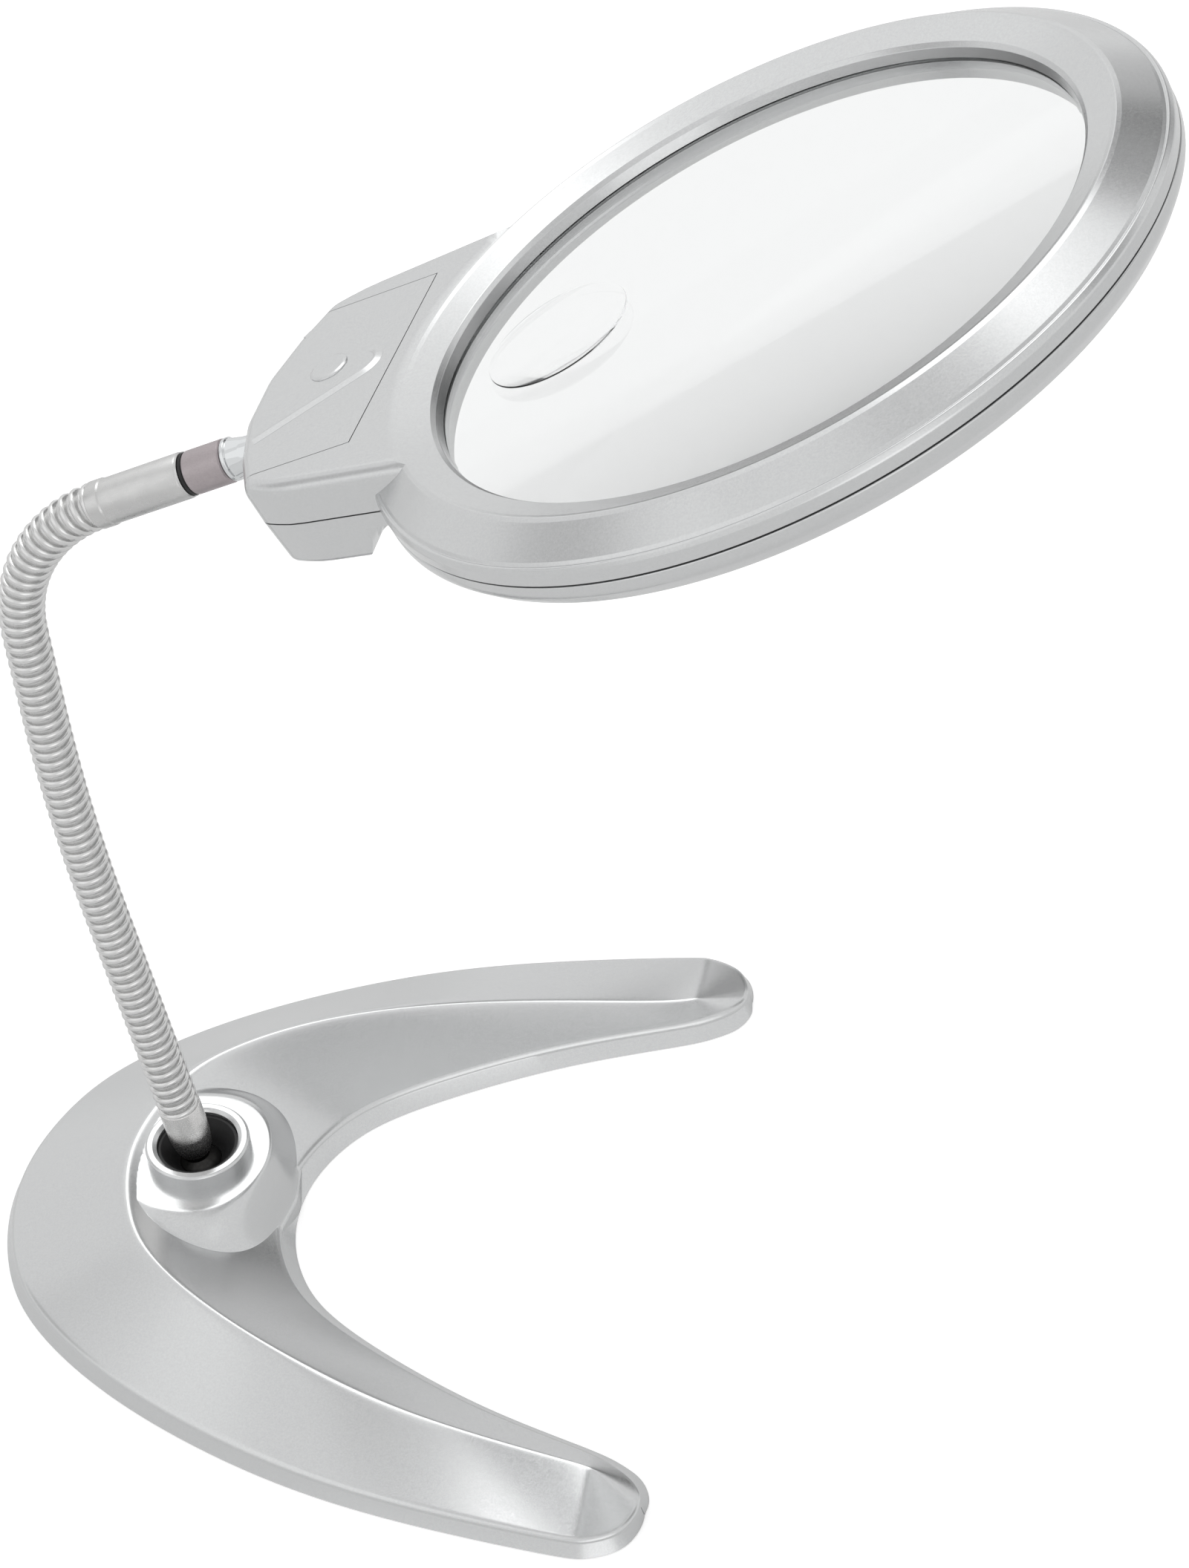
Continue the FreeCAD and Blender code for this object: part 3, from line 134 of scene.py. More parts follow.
def linear(code):
    """The linear colour of an sRGB hex value."""
    shares = [int(code[i:i + 2], 16) / 255 for i in (1, 3, 5)]
    return tuple(c / 12.92 if c <= 0.04045 else ((c + 0.055) / 1.055) ** 2.4 for c in shares) + (1.0,)


def add_node(tree, kind, sockets=None, links=None, **settings):
    """Adds a node with its settings, socket values and links."""
    node = tree.nodes.new(kind)
    for key, value in settings.items():
        setattr(node, key, value)
    for key, value in (sockets or {}).items():
        node.inputs[key].default_value = value
    for key, source in (links or {}).items():
        tree.links.new(source, node.inputs[key])
    return node


def finish_base(name, colour, roughness, metallic=0.0, **sockets):
    """A new material with its node tree, its one surface shader and the object coordinates."""
    material = bpy.data.materials.get(name)
    if material:
        bpy.data.materials.remove(material)
    material = bpy.data.materials.new(name)
    material.use_nodes = True
    material.diffuse_color = colour
    tree = material.node_tree
    shader = tree.nodes["Principled BSDF"]
    values = {"Base Color": colour, "Roughness": roughness, "Metallic": metallic}
    values.update({key.replace("_", " "): value for key, value in sockets.items()})
    for key, value in values.items():
        shader.inputs[key].default_value = value
    coords = add_node(tree, "ShaderNodeTexCoord")
    return Look(material, tree, shader, coords.outputs["Object"])


def grain(look, size_mm, detail=2.0, stretch=(1.0, 1.0, 1.0)):
    """A pattern whose grains are the given size in millimetres, drawn out along an axis if asked."""
    mapping = add_node(look.tree, "ShaderNodeMapping", {"Scale": stretch}, {"Vector": look.coords})
    values = {"Scale": 1.0 / (size_mm * MM), "Detail": detail, "Roughness": 0.55}
    noise = add_node(look.tree, "ShaderNodeTexNoise", values, {"Vector": mapping.outputs["Vector"]})
    return noise.outputs["Fac"]


def vary_roughness(look, pattern, low, high, ends=(0.3, 0.7)):
    """Moves the roughness from one value to another between two ends of a pattern."""
    values = {"From Min": ends[0], "From Max": ends[1], "To Min": low, "To Max": high}
    moved = add_node(look.tree, "ShaderNodeMapRange", values, {"Value": pattern})
    look.tree.links.new(moved.outputs["Result"], look.shader.inputs["Roughness"])


def vary_colour(look, pattern, dark, light, reach=None):
    """Moves the colour from a dark tone to a light one by a pattern, stretched first if asked."""
    if reach:
        values = dict(zip(("From Min", "From Max", "To Min", "To Max"), reach))
        pattern = add_node(look.tree, "ShaderNodeMapRange", values, {"Value": pattern}).outputs["Result"]
    mix = add_node(look.tree, "ShaderNodeMix", data_type="RGBA")
    tones = {socket.name: socket for socket in mix.inputs if socket.type == "RGBA"}
    tones["A"].default_value, tones["B"].default_value = linear(dark), linear(light)
    look.tree.links.new(pattern, mix.inputs["Factor"])
    result = [socket for socket in mix.outputs if socket.type == "RGBA"][0]
    look.tree.links.new(result, look.shader.inputs["Base Color"])


def relief(look, height, depth_mm):
    """Raises the surface by a height pattern of the given depth."""
    bump = add_node(look.tree, "ShaderNodeBump", {"Strength": 1.0, "Distance": depth_mm * MM},
        {"Height": height})
    look.tree.links.new(bump.outputs["Normal"], look.shader.inputs["Normal"])


def silver_lacquered_abs(colours):
    # Moulded ABS sprayed with silver lacquer: pale satin metal with a fine flake grain and a soft sheen.
    # Real flakes are about 0.05 mm; they are drawn at 0.25 mm so that they just show.
    look = finish_base("silver_lacquered_abs", colours.silver, 0.22, 0.88)
    flakes = add_node(look.tree, "ShaderNodeTexVoronoi", {"Scale": 1.0 / (0.25 * MM)},
        {"Vector": look.coords}, feature="F1")
    glint = add_node(look.tree, "ShaderNodeSeparateColor", links={"Color": flakes.outputs["Color"]})
    vary_colour(look, glint.outputs["Red"], "#BDBEBF", "#DDDEDE", (0.0, 1.0, 0.42, 0.58))
    vary_roughness(look, glint.outputs["Green"], 0.19, 0.25, (0.0, 1.0))
    relief(look, grain(look, 0.25, 1.0), 0.002)
    return look.material


def grained_abs_cover(colours):
    # Moulded ABS with spark eroded grain, about 0.6 mm: matt grey underside of the foot.
    look = finish_base("grained_abs_cover", colours.cover, 0.62, IOR=1.54)
    vary_colour(look, grain(look, 6.0, 4.0), "#6E7073", "#85878A")
    relief(look, grain(look, 0.6, 2.0), 0.03)
    return look.material


def washed_steel_weight(colours):
    # Pressed steel plate in a thin zinc wash: dull blue grey with cloudy patches and mill grain.
    look = finish_base("washed_steel_weight", linear("#8B8F94"), 0.45, 1.0)
    vary_colour(look, grain(look, 5.0, 5.0), "#767A80", "#9A9EA2", (0.35, 0.65, 0.0, 1.0))
    vary_roughness(look, grain(look, 1.5, 3.0, (1, 8, 8)), 0.38, 0.55)
    relief(look, grain(look, 0.5, 2.0), 0.01)
    return look.material


def moulded_rubber_pad(colours):
    # Moulded rubber feet: black, matt, with dust in a fine grain of 0.4 mm.
    look = finish_base("moulded_rubber_pad", colours.rubber, 0.82, IOR=1.52)
    vary_colour(look, grain(look, 0.8, 3.0), "#232323", "#3A3A39")
    relief(look, grain(look, 0.4, 2.0), 0.02)
    return look.material


def zinc_plated_steel(colours):
    # Cold headed screws in bright zinc: slightly blue metal, wiped roughness of 0.3 mm scratches.
    look = finish_base("zinc_plated_steel", linear("#C3C7CB"), 0.32, 1.0)
    vary_roughness(look, grain(look, 0.3, 3.0), 0.24, 0.42)
    vary_colour(look, grain(look, 1.2, 2.0), "#B4B9BE", "#CDD0D2")
    return look.material


def black_acetal(colours):
    # Turned black acetal: satin black with faint turning lines of 0.3 mm round the socket.
    look = finish_base("black_acetal", colours.socket, 0.5, IOR=1.48)
    rings = add_node(look.tree, "ShaderNodeTexWave", {"Scale": 1.0 / (0.3 * MM) / 20, "Distortion": 0.4},
        {"Vector": look.coords},
                     wave_type="RINGS", rings_direction="Z")
    vary_roughness(look, rings.outputs["Fac"], 0.46, 0.56, (0.0, 1.0))
    relief(look, rings.outputs["Fac"], 0.004)
    return look.material


def natural_nylon(colours):
    # Moulded natural nylon: waxy ivory that lets a little light in.
    look = finish_base("natural_nylon", linear("#E6E2D6"), 0.42, IOR=1.53, Subsurface_Weight=0.2)
    look.shader.inputs["Subsurface Radius"].default_value = (0.001, 0.0008, 0.0006)
    vary_colour(look, grain(look, 2.0, 2.0), "#DCD7C8", "#EDEAE0")
    return look.material


def nickel_plated_wire(colours):
    # Drawn steel wire under satin nickel: neutral silver with fine drawing lines along the wire.
    look = finish_base("nickel_plated_wire", colours.wire, 0.28, 1.0)
    vary_roughness(look, grain(look, 0.5, 2.0, (1, 1, 6)), 0.16, 0.24)
    vary_colour(look, grain(look, 2.5, 2.0), "#D0D0CF", "#DADADA")
    return look.material


def steel_in_painted_shade(colours):
    # Steel painted near black: painted shade on the core under the windings, seen in the gaps between the turns,
    # and on the ball down in its socket.
    look = finish_base("steel_in_painted_shade", linear("#3B3A39"), 0.4, 1.0)
    vary_colour(look, grain(look, 1.0, 2.0), "#2E2D2C", "#484746")
    return look.material


def bright_nickel_brass(colours):
    # Turned brass under bright nickel, the end ferrules: clean reflections with faint turning lines.
    look = finish_base("bright_nickel_brass", linear("#DEDDDC"), 0.26, 1.0)
    vary_roughness(look, grain(look, 0.4, 3.0), 0.22, 0.32)
    vary_colour(look, grain(look, 4.0, 2.0), "#D8D7D6", "#E6E5E4")
    return look.material


def satin_nickel_brass(colours):
    # Brass tube brushed and nickel plated, the long upper ferrule: soft grey metal, brush lines 0.25 mm apart. It
    # also covers the neck's flat wire, slightly darker than the round wire beside it: partly its own finish,
    # partly painted shade in the gaps between the turns.
    look = finish_base("satin_nickel_brass", colours.ferrule, 0.3, 1.0)
    vary_roughness(look, grain(look, 0.25, 3.0, (0.15, 1, 0.15)), 0.24, 0.38)
    vary_colour(look, grain(look, 3.0, 2.0), "#C0C0C0", "#D0D0CF")
    return look.material


def anodised_aluminium_sleeve(colours):
    # Brushed aluminium, anodised to a warm pinkish grey: the turning sleeve of the swivel.
    look = finish_base("anodised_aluminium_sleeve", colours.sleeve, 0.42, 0.85)
    vary_roughness(look, grain(look, 0.25, 3.0, (0.2, 1, 0.2)), 0.34, 0.5)
    vary_colour(look, grain(look, 0.3, 3.0), "#A29A9C", "#B6AEB0")
    return look.material


def polished_chrome(colours):
    # Brass under polished chrome, the cone nut: mirror bright, almost black and white reflections.
    look = finish_base("polished_chrome", linear("#D8DADB"), 0.05, 1.0)
    vary_roughness(look, grain(look, 1.0, 3.0), 0.03, 0.09)
    return look.material


def cast_acrylic_lens(colours):
    # Moulded acrylic: water clear with a trace of grey, so the lens reads a shade under the white behind it.
    look = finish_base("cast_acrylic_lens", colours.lens, 0.0, IOR=1.49, Transmission_Weight=1.0)
    relief(look, grain(look, 30.0, 0.0), 0.01)
    return look.material


def printed_cell_jacket(colours):
    # Heat shrunk printed film on a cell: glossy dark film with a coppery end band.
    look = finish_base("printed_cell_jacket", linear("#2B2D31"), 0.28, IOR=1.5)
    place = add_node(look.tree, "ShaderNodeSeparateXYZ", links={"Vector": look.coords})
    band = add_node(look.tree, "ShaderNodeMath", {1: 0.0135}, operation="GREATER_THAN")
    look.tree.links.new(place.outputs["Y"], band.inputs[0])
    vary_colour(look, band.outputs["Value"], "#2B2D31", "#A9733F")
    vary_roughness(look, grain(look, 2.0, 2.0), 0.22, 0.34)
    return look.material


def nickel_plated_can(colours):
    # Deep drawn steel can of a cell and its spring contacts: bright nickel with light scuffs.
    look = finish_base("nickel_plated_can", linear("#C9C8C4"), 0.24, 1.0)
    vary_roughness(look, grain(look, 0.5, 4.0), 0.18, 0.34)
    vary_colour(look, grain(look, 1.5, 3.0), "#BAB9B4", "#D3D2CF")
    return look.material


def lamp_epoxy(colours):
    # Cast clear epoxy of a lamp: clear dome, slightly cloudy, brighter than the shell round it.
    look = finish_base("lamp_epoxy", linear("#F4F3EC"), 0.06, IOR=1.53, Transmission_Weight=0.75)
    vary_roughness(look, grain(look, 1.0, 2.0), 0.03, 0.1)
    return look.material


def resin_circuit_board(colours):
    # Glass cloth and epoxy board under green lacquer: weave of 0.5 mm just under the gloss.
    look = finish_base("resin_circuit_board", linear("#1F5B34"), 0.32, IOR=1.55)
    weave = add_node(look.tree, "ShaderNodeTexChecker", {"Scale": 1.0 / (0.5 * MM)}, {"Vector": look.coords})
    vary_colour(look, weave.outputs["Fac"], "#1C5430", "#24653B")
    relief(look, weave.outputs["Fac"], 0.005)
    return look.material


FINISHES = {
    "satin_shell": silver_lacquered_abs, "dark_cover": grained_abs_cover, "steel_weight": washed_steel_weight,
    "rubber_pad": moulded_rubber_pad, "zinc_screw": zinc_plated_steel, "black_socket": black_acetal,
    "nylon_seat": natural_nylon, "bright_steel": bright_nickel_brass,
    "satin_steel": anodised_aluminium_sleeve,
    "chrome_fitting": polished_chrome, "neck_wire": nickel_plated_wire, "neck_filler": steel_in_painted_shade,
    "clear_lens": cast_acrylic_lens, "cell_can": printed_cell_jacket, "lamp_lens": lamp_epoxy,
    "circuit_board": resin_circuit_board, "upper_ferrule": satin_nickel_brass, "cell_end": nickel_plated_can,
}
made = {}


def finish(name):
    """The material of a finish, made once."""
    if name not in made:
        made[name] = FINISHES[name](bpy.context.scene.magnifier_colours)
    return made[name]


# Curves and meshes, in millimetres

def smooth_through(points, count):
    """A smooth curve through points, evenly spaced in the points' own order."""
    points = np.asarray(points, float)
    knots = len(points)
    system = np.zeros((knots, knots))
    right = np.zeros_like(points)
    system[0, :2], system[-1, -2:] = (2, 1), (1, 2)
    right[0], right[-1] = 3 * (points[1] - points[0]), 3 * (points[-1] - points[-2])
    for i in range(1, knots - 1):
        system[i, i - 1:i + 2] = (1, 4, 1)
        right[i] = 3 * (points[i + 1] - points[i - 1])
    slopes = np.linalg.solve(system, right)
    at = np.linspace(0, knots - 1, count)
    i = np.minimum(at.astype(int), knots - 2)
    t = (at - i)[:, None]
    a, b, da, db = points[i], points[i + 1], slopes[i], slopes[i + 1]
    return a + da * t + (3 * (b - a) - 2 * da - db) * t ** 2 + (2 * (a - b) + da + db) * t ** 3


def soften(corners, closed=False):
    """A path through corners; a third number rounds its corner."""
    path = []
    count = len(corners)
    for i, corner in enumerate(corners):
        here = np.array(corner[:2], float)
        radius = corner[2] if len(corner) > 2 else 0
        if not radius or not (closed or 0 < i < count - 1):
            path.append(here)
            continue
        a = np.array(corners[i - 1][:2], float) - here
        b = np.array(corners[(i + 1) % count][:2], float) - here
        length_a, length_b = np.linalg.norm(a), np.linalg.norm(b)
        a, b = a / length_a, b / length_b
        half = math.acos(max(-1, min(1, float(a @ b)))) / 2
        if half > math.radians(89.5):
            path.append(here)
            continue
        reach = min(radius / math.tan(half), 0.49 * length_a, 0.49 * length_b)
        radius = reach * math.tan(half)
        middle = here + (a + b) / np.linalg.norm(a + b) * radius / math.sin(half)
        sweep = math.pi - 2 * half
        steps = max(2, int(math.ceil(sweep / math.radians(12))))
        v, u = here + a * reach - middle, here + b * reach - middle
        for k in range(steps + 1):
            t = k / steps
            path.append(middle + (v * math.sin((1 - t) * sweep) + u * math.sin(t * sweep)) / math.sin(sweep))
    return path


def on_circle(radius, degrees):
    """The two coordinates of a point on a circle."""
    return radius * math.cos(math.radians(degrees)), radius * math.sin(math.radians(degrees))


def shifted(placement, x, y, z=0.0):
    """A frame moved by millimetres along its own axes."""
    return placement @ Matrix.Translation(Vector((x, y, z)) * MM)


def place_at(origin, along, side=(0.0, 1.0, 0.0)):
    """A frame whose Z runs along a direction, in metres."""
    z = Vector(along).normalized()
    x = Vector(side).cross(z).normalized()
    y = z.cross(x)
    turn = Matrix((x, y, z)).transposed().to_4x4()
    return Matrix.Translation(Vector(origin) * MM) @ turn


def shade(mesh, angle=32):
    mesh.shade_smooth()
    mesh.set_sharp_from_angle(angle=math.radians(angle))


def make_piece(name, points, faces, finish_name=None, placement=None, angle=32):
    """A mesh object from millimetre points."""
    mesh = bpy.data.meshes.new(name)
    mesh.from_pydata((np.asarray(points, float) * MM).tolist(), [], faces)
    form = bmesh.new()
    form.from_mesh(mesh)
    bmesh.ops.recalc_face_normals(form, faces=form.faces)
    form.to_mesh(mesh)
    form.free()
    if placement is not None:
        mesh.transform(placement)
    shade(mesh, angle)
    if finish_name:
        mesh.materials.append(finish(finish_name))
    piece = bpy.data.objects.new(name, mesh)
    bpy.context.scene.collection.objects.link(piece)
    return piece


def turned(name, corners, finish_name=None, placement=None, segments=96, angle=32):
    """A turned piece from its half section: radius, height and rounding of each corner."""
    closed = corners[0][0] > 0 or corners[-1][0] > 0
    path = soften(corners, closed)
    points, rings, faces = [], [], []
    for radius, height in path:
        if radius < 1e-6:
            rings.append([len(points)])
            points.append((0, 0, height))
            continue
        rings.append(range(len(points), len(points) + segments))
        points += [(radius * math.cos(2 * math.pi * k / segments),
            radius * math.sin(2 * math.pi * k / segments), height) for k in range(segments)]
    pairs = list(zip(rings, rings[1:])) + ([(rings[-1], rings[0])] if closed else [])
    for low, high in pairs:
        for k in range(segments):
            n = (k + 1) % segments
            corners_of_face = [low[k % len(low)], low[n % len(low)], high[n % len(high)], high[k % len(high)]]
            faces.append(list(dict.fromkeys(corners_of_face)))
    return make_piece(name, points, [f for f in faces if len(f) > 2], finish_name, placement, angle)


def stacked(name, rings, finish_name=None, placement=None, angle=32):
    """A closed body through rings of equal count, capped at both ends."""
    count = len(rings[0])
    points = [p for ring in rings for p in ring]
    faces = []
    for level in range(len(rings) - 1):
        for k in range(count):
            n = (k + 1) % count
            faces.append([level * count + k, level * count + n, (level + 1) * count + n,
                (level + 1) * count + k])
    faces.append(list(range(count)))
    faces.append([(len(rings) - 1) * count + k for k in range(count)])
    return make_piece(name, points, faces, finish_name, placement, angle)


def box_piece(name, low, high, placement=None):
    xs, ys, zs = zip(low, high)
    ring = lambda z: [(xs[0], ys[0], z), (xs[1], ys[0], z), (xs[1], ys[1], z), (xs[0], ys[1], z)]
    return stacked(name, [ring(zs[0]), ring(zs[1])], placement=placement)


def carve(piece, tools, how="DIFFERENCE", angle=32):
    """Cuts tools from a piece, joins them to it or keeps what they share, for good."""
    for tool in tools:
        step = piece.modifiers.new("carve", "BOOLEAN")
        step.operation, step.solver, step.object = how, "EXACT", tool
    ready = piece.evaluated_get(bpy.context.evaluated_depsgraph_get())
    mesh = bpy.data.meshes.new_from_object(ready)
    piece.modifiers.clear()
    piece.data = mesh
    if not mesh.polygons:
        raise RuntimeError("nothing left of " + piece.name)
    form = bmesh.new()
    form.from_mesh(mesh)
    bmesh.ops.remove_doubles(form, verts=form.verts, dist=1e-6)
    bmesh.ops.dissolve_degenerate(form, edges=form.edges, dist=1e-6)
    form.to_mesh(mesh)
    form.free()
    shade(mesh, angle)
    for tool in tools:
        bpy.data.objects.remove(tool)
    return piece


def joined(name, pieces):
    """One object from several, in their places."""
    form = bmesh.new()
    materials = []
    for piece in pieces:
        for material in piece.data.materials:
            if material not in materials:
                materials.append(material)
    for piece in pieces:
        start = len(form.faces)
        form.from_mesh(piece.data)
        form.faces.ensure_lookup_table()
        slots = [materials.index(m) for m in piece.data.materials]
        for face in form.faces[start:]:
            face.material_index = slots[face.material_index] if slots else 0
    mesh = bpy.data.meshes.new(name)
    form.to_mesh(mesh)
    form.free()
    for material in materials:
        mesh.materials.append(material)
    whole = bpy.data.objects.new(name, mesh)
    bpy.context.scene.collection.objects.link(whole)
    for piece in pieces:
        bpy.data.objects.remove(piece)
    return whole


def moved_copies(name, piece, placements):
    """Copies of a piece at several places, as one object."""
    copies = []
    for i, placement in enumerate(placements):
        copy = bpy.data.objects.new("%s_%d" % (name, i), piece.data.copy())
        copy.data.transform(placement)
        bpy.context.scene.collection.objects.link(copy)
        copies.append(copy)
    bpy.data.objects.remove(piece)
    return joined(name, copies)


def even_normals(piece):
    step = piece.modifiers.new("even normals", "WEIGHTED_NORMAL")
    step.keep_sharp = True


def dress(piece, slot, *nodes):
    """A piece stands for its nodes and rides on their body."""
    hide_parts(*nodes)
    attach(piece, frame["nodes"][nodes[0]]["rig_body"])
    return piece


def coat(finish_name, *nodes):
    """A finish for nodes whose own shape is shown."""
    for node in nodes:
        for slot in frame["nodes"][node].material_slots:
            slot.material = finish(finish_name)


# Middle line of the neck, and the frames of the fittings and the head

def neck_frame(distance):
    """Point, direction and right hand side of the neck's middle line, in millimetres."""
    x, z, heading, left = 0.0, BALL_HEIGHT, math.radians(96.5), distance
    runs = ((81.0, 0.0), (500.0 * math.radians(6.5), 500.0), (20.0, 0.0), (36.0 * math.radians(67), 36.0))
    for i, (length, radius) in enumerate(runs):
        step = left if i == len(runs) - 1 else min(left, length)
        ax, az = math.cos(heading), math.sin(heading)
        rx, rz = az, -ax
        if radius:
            turn = step / radius
            x += rx * radius * (1 - math.cos(turn)) + ax * radius * math.sin(turn)
            z += rz * radius * (1 - math.cos(turn)) + az * radius * math.sin(turn)
            heading -= turn
        else:
            x, z = x + ax * step, z + az * step
        left -= step
        if left <= 0:
            break
    along = Vector((math.cos(heading), 0, math.sin(heading)))
    return Vector((x, 0, z)), along, Vector((along.z, 0, -along.x))


neck_tip, neck_along, neck_right = neck_frame(NECK_END)
FITTINGS = place_at(neck_tip, neck_along)
head_axes = Matrix((neck_along, Vector((0, 1, 0)), -neck_right)).transposed().to_4x4()
HEAD = Matrix.Translation((neck_tip + neck_along * HEAD_REACH) * MM) @ head_axes
BALL = place_at((0, 0, BALL_HEIGHT), neck_frame(0)[1])
# In the photograph the housing stands a little askew behind the ring, towards the far side
HOUSING = HEAD @ Matrix.Rotation(math.radians(HOUSING_TURN), 4, "Z")


def length(name, description, default):
    """A size in metres that a user can change."""
    return bpy.props.FloatProperty(name=name, description=description, default=default, unit="LENGTH",
        precision=4)


def tint(name, description, code):
    """A colour that a user can change, from its sRGB hex value."""
    return bpy.props.FloatVectorProperty(
        name=name, description=description, default=linear(code), subtype="COLOR", size=4)


class MagnifierSizes(bpy.types.PropertyGroup):
    """Sizes of the magnifier that its pieces are drawn from"""

    crest_height: length("Crest height", "Height of the ridge at the back of the foot", 0.0182)
    lip_height: length("Lip height", "Height of the outer edge of the foot", 0.0039)
    lip_rounding: length("Lip rounding", "Rounding where the lip meets the slopes", 0.0011)
    draft: length("Draft", "Lean of the outer wall of the foot over its height", 0.0016)
    flare: length("Flare", "Flare of the inner wall of the foot over its height", 0.0027)
    wall: length("Shell wall", "Wall of the foot shell", 0.0024)
    boss_top: length("Boss top", "Height of the flat round the collar", 0.0174)
    wire: length("Wire", "Thickness of the round wire of the neck", 0.0017)
    neck_diameter: length("Neck diameter", "Outer diameter of the wound neck", 0.0096)
    filler_width: length("Filler width", "Width of the flat wire between the turns", 0.0010)
    bend_zone: length("Bend zone", "Half the length over which a turn follows the next link", 0.006)
    lens_diameter: length("Lens diameter", "Diameter of the main lens", 0.130)
    lens_crown: length("Lens crown", "Rise of the upper face of the main lens", 0.0028)
    spot_rise: length("Spot rise", "Rise of the small strong lens over the main one", 0.0013)


class MagnifierColours(bpy.types.PropertyGroup):
    """Colours of the magnifier's finishes"""

    silver: tint("Silver lacquer", "Lacquer on the shells", "#CDCECF")
    cover: tint("Cover", "Underside of the foot", "#7A7C7F")
    rubber: tint("Rubber", "Rubber pads", "#2E2E2D")
    socket: tint("Socket", "Black socket and switch", "#131314")
    wire: tint("Wire", "Wound wire of the neck", "#D5D5D4")
    ferrule: tint("Ferrule", "Long upper ferrule", "#C8C8C8")
    sleeve: tint("Sleeve", "Turning sleeve of the swivel", "#ACA4A6")
    lens: tint("Lens", "Tint of the lens", "#E5E6E6")


# Pieces of the foot

def foot_plan(share):
    return share[0] * FOOT_DEPTH - FOOT_BACK, share[1] * FOOT_HALF_WIDTH


